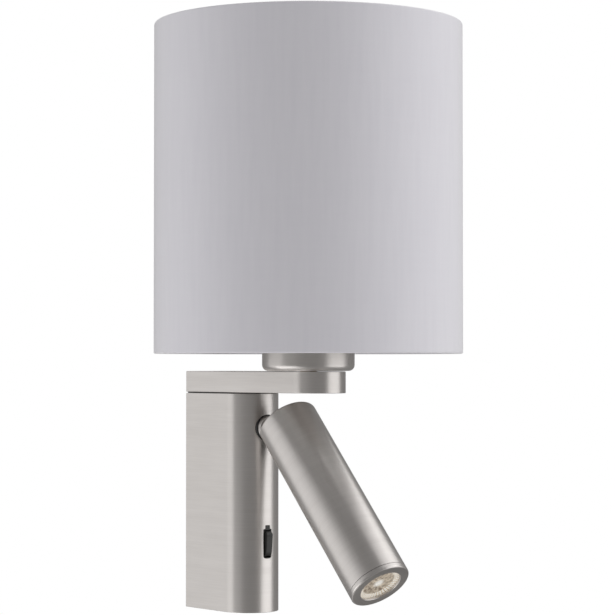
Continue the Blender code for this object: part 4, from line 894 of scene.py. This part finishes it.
def make_swivel():
    low, high, hole, flange_r = span("swivel_bush", SWIVEL)
    floor, flange, inside = low + BUSH_FLOOR, low + BUSH_FLOOR + BUSH_FLANGE, BUSH_R - BUSH_WALL
    corners = [
        (BUSH_R, high, 0.15 * MM),
        (BUSH_R, flange, 0),
        (flange_r, flange, 0.2 * MM),
        (flange_r, low, 0.3 * MM),
        (hole, low, 0.2 * MM),
        (hole, floor, 0.2 * MM),
        (inside, floor, 0),
        (inside, high, 0.15 * MM),
    ]
    piece("bush", lathed(rounded(corners)), SWIVEL, nodes=["swivel_bush"], paint=BLACK)

    low, high, _, _ = span("swivel_stem", SWIVEL)
    boss_r, boss_low = inside - BOSS_PLAY, floor + BOSS_GAP
    boss_high = -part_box("housing_shell")[0].y + BOSS_PROUD
    corners = [
        (0, low, 0),
        (SHANK_R, low, 0.5 * MM),
        (SHANK_R, boss_low, 0.2 * MM),
        (boss_r, boss_low, 0.2 * MM),
        (boss_r, boss_high, 0.8 * MM),
        (0, boss_high, 0),
    ]
    turned = lathed(rounded(corners, False), False)
    stem = piece("stem", turned, SWIVEL, nodes=["swivel_stem"], paint=NICKEL)
    root = boss_high - TONGUE_ROOT
    outline = [(root, TONGUE_R), (root, -TONGUE_R), *arc(-PIVOT.y, 0, TONGUE_R, -90, 90, 32)]
    side = Matrix(((0, 0, 1, 0), (0, 1, 0, 0), (1, 0, 0, 0), (0, 0, 0, 1)))
    cut(stem, prism(outline, -TONGUE_HALF, TONGUE_HALF, 0.4 * MM), SWIVEL @ side, "UNION")
    across = Matrix.Translation(PIVOT) @ Matrix.Rotation(TURN / 4, 4, "Y")
    cut(stem, bar_shape(TILT_HOLE_R, -TONGUE_HALF - MM, TONGUE_HALF + MM, SMALL_SIDES), across)


# ---------------------------------------------------------------- reading head
HEAD_WALL, HEAD_END = 1.6 * MM, 2 * MM
TONGUE_SLOT_HALF, TONGUE_SLOT_ROOM = 3.3 * MM, 6.8 * MM
BEZEL_SEAM = 0.2 * MM
BEZEL_LIP = 1.5 * MM
BEZEL_SEAT = 1.7 * MM  # outside the opening, for the lens
SPIGOT_PLAY = 0.15 * MM
BOWL_FLUTES, BOWL_FLUTE = 36, 0.35 * MM
BOWL_SKIN = 0.9 * MM
BOWL_STEPS = 14
CHIP_HALF, CHIP_BASE = 1.7 * MM, 0.4 * MM
DOME_R = 1.2 * MM


def make_head():
    seam, back, _, radius = span("head_housing", HEAD)
    corners = [
        (0, back, 0),
        (radius, back, 2 * MM),
        (radius, seam, 0.15 * MM),
        (radius - HEAD_WALL, seam, 0.15 * MM),
        (radius - HEAD_WALL, back - HEAD_END, MM),
        (0, back - HEAD_END, 0),
    ]
    turned = lathed(rounded(corners, False), False, HEAD_SIDES)
    head = piece("head", turned, HEAD, nodes=["head_housing"], paint=NICKEL)
    half, room = TONGUE_SLOT_HALF, TONGUE_SLOT_ROOM
    cut(head, block((-half, -room, -room), (half, radius + MM, back + MM)), HEAD)

    end, top, _, _ = span("head_bezel", HEAD)
    spigot = radius - HEAD_WALL - SPIGOT_PLAY
    seat, edge, shelf = LENS_OPENING_R + BEZEL_SEAT, seam - BEZEL_SEAM, end + BEZEL_LIP
    corners = [
        (spigot, top, 0.3 * MM),
        (spigot, edge, 0),
        (radius, edge, 0.15 * MM),
        (radius, end, 1.0 * MM),
        (LENS_OPENING_R, end, 0.5 * MM),
        (LENS_OPENING_R, shelf, 0.1 * MM),
        (seat, shelf, 0),
        (seat, top, 0.2 * MM),
    ]
    turned = lathed(rounded(corners), sides=HEAD_SIDES)
    bezel = piece("bezel", turned, HEAD, nodes=["head_bezel"], paint=NICKEL)
    # The faces that look down at the lens end take the darker nickel: painted shade.
    bezel.data.materials.append(NICKEL_SHADED_END)
    for face in bezel.data.polygons:
        if face.normal.z < -0.9 and face.center.z < shelf:
            face.material_index = 1

    low, high, _, radius = span("lens", HEAD)
    corners = [(0, low, 0), (radius, low, 0.3 * MM), (radius, high, 0.3 * MM), (0, high, 0)]
    disc = piece("lens_disc", lathed(rounded(corners, False), False), HEAD, nodes=["lens"], paint=CLEAR)
    # The lens's back face takes the painted reflections, highlight and glow.
    disc.data.materials.append(MOULDED_PAINTED_LIGHT)
    for face in disc.data.polygons:
        if face.center.z > high - SAME:
            face.material_index = 1

    low, high, inner, radius = span("lens_gasket", HEAD)
    bead = 0.2 * MM
    corners = [(radius, high, bead), (radius, low, bead), (inner, low, bead), (inner, high, bead)]
    piece("gasket", lathed(rounded(corners)), HEAD, nodes=["lens_gasket"], paint=BLACK)
    make_optics()


def make_optics():
    rim, throat, throat_r, rim_r = span("reflector", HEAD)
    wide = LENS_OPENING_R - throat_r

    def fluted(angle, out, z):
        if out > LENS_OPENING_R + 0.1 * MM:
            return out
        share = min(1, max(0, (out - throat_r) / wide))
        return out - BOWL_FLUTE * share * abs(math.sin(BOWL_FLUTES * angle / 2))

    shares = [i / BOWL_STEPS for i in range(BOWL_STEPS + 1)]
    bowl = [(throat_r + wide * math.sqrt(t), throat - (throat - rim) * t) for t in shares]
    outside = [(out + BOWL_SKIN, z) for out, z in bowl[:-1]]
    profile = [*outside, (rim_r, rim + 0.8 * MM), (rim_r, rim), *bowl[::-1]]
    turned = lathed(profile, sides=12 * BOWL_FLUTES, wave=fluted)
    piece("fluted_bowl", turned, HEAD, nodes=["reflector"], paint=MIRROR)

    low, high, _, _ = span("led_chip", HEAD)
    square = [(x * CHIP_HALF, y * CHIP_HALF) for x, y in ((1, 1), (-1, 1), (-1, -1), (1, -1))]
    chip = prism(square, low + CHIP_BASE, high, 0.15 * MM)
    cap = arc(0, low + DOME_R, DOME_R, -80, -30, 8)
    dome = lathed([(0, low), *cap, (1.1 * MM, low + 0.6 * MM)], False, SMALL_SIDES)
    piece("led", merged(chip, dome), HEAD, nodes=["led_chip"], paint=PHOSPHOR)


# ---------------------------------------------------------------- studio
CAMERA_AT = (-0.8342, -1.0824, 0.0833)
CAMERA_TURN, CAMERA_RISE = math.radians(40.17), math.radians(1.43)
CAMERA_LENS, CAMERA_SENSOR = 129.76, 36
# name, bearing and rise in degrees, distance and (width, height) in metres, watts
PANELS = (
    ("left_panel", -92, 6, 2.0, (2.0, 3.2), 13),
    ("right_panel", 76, 6, 2.0, (2.1, 3.2), 23),
    ("high_panel", 113, 58, 2.0, (2.3, 2.3), 16.5),
    ("low_panel", -66, -46, 1.6, (1.6, 1.2), 8.5),
)
ROOM_COLOUR, ROOM_STRENGTH = (1, 0.99, 0.98, 1), 0.27
FLOOR_Z, FLOOR_R = -0.9, 0.6


def make_camera():
    data = bpy.data.cameras.new("camera")
    data.lens = CAMERA_LENS
    data.sensor_width = CAMERA_SENSOR
    camera = bpy.data.objects.new("camera", data)
    bpy.context.scene.collection.objects.link(camera)
    camera.location = CAMERA_AT
    level = math.cos(CAMERA_RISE)
    ahead = Vector((math.sin(CAMERA_TURN) * level, math.cos(CAMERA_TURN) * level, math.sin(CAMERA_RISE)))
    camera.rotation_mode = "QUATERNION"
    camera.rotation_quaternion = ahead.to_track_quat("-Z", "Y")
    bpy.context.scene.camera = camera


def softbox(name, bearing, rise, distance, size, power):
    """A lit panel that faces the lamp. Bearing 0 is at the camera, and positive to its right."""
    data = bpy.data.lights.new(name, "AREA")
    data.shape = "RECTANGLE"
    data.size, data.size_y = size
    data.energy = power
    light = bpy.data.objects.new(name, data)
    bpy.context.scene.collection.objects.link(light)
    angle = TURN / 2 + CAMERA_TURN - math.radians(bearing)
    up = math.radians(rise)
    way = Vector((math.sin(angle) * math.cos(up), math.cos(angle) * math.cos(up), math.sin(up)))
    light.location = (CAD_BOX[0] + CAD_BOX[1]) / 2 + way * distance
    light.rotation_mode = "QUATERNION"
    light.rotation_quaternion = (-way).to_track_quat("-Z", "Y")
    light.visible_camera = False


def make_world():
    """A dim even light from all round, and pure white where the camera sees past the lamp."""
    world = bpy.data.worlds.new("studio")
    bpy.context.scene.world = world
    world.use_nodes = True
    tree = world.node_tree
    tree.nodes.clear()
    path = tree.nodes.new("ShaderNodeLightPath")
    room = tree.nodes.new("ShaderNodeBackground")
    room.inputs["Color"].default_value = ROOM_COLOUR
    room.inputs["Strength"].default_value = ROOM_STRENGTH
    white = tree.nodes.new("ShaderNodeBackground")
    white.inputs["Color"].default_value = (1, 1, 1, 1)
    mix = tree.nodes.new("ShaderNodeMixShader")
    out = tree.nodes.new("ShaderNodeOutputWorld")
    tree.links.new(path.outputs["Is Camera Ray"], mix.inputs["Fac"])
    tree.links.new(room.outputs[0], mix.inputs[1])
    tree.links.new(white.outputs[0], mix.inputs[2])
    tree.links.new(mix.outputs[0], out.inputs["Surface"])


def make_floor():
    shape = bmesh.new()
    bmesh.ops.create_circle(shape, cap_ends=True, segments=SIDES, radius=FLOOR_R)
    data = bpy.data.meshes.new("floor")
    shape.to_mesh(data)
    shape.free()
    floor = bpy.data.objects.new("floor", data)
    bpy.context.scene.collection.objects.link(floor)
    floor.location.z = FLOOR_Z
    data.materials.append(cast("pale_floor", (0.80, 0.80, 0.79), (0.84, 0.84, 0.83), 0.8, grain=40))


def make_studio():
    make_camera()
    for panel in PANELS:
        softbox(*panel)
    make_world()
    make_floor()
    bpy.context.scene.view_settings.view_transform = "Standard"


paint_cad_nodes()
make_housing()
make_bottom_cap()
make_arm()
make_cup()
make_lampholder()
make_bulb()
make_shade()
make_shade_nuts()
make_switch()
make_swivel()
make_head()
make_studio()
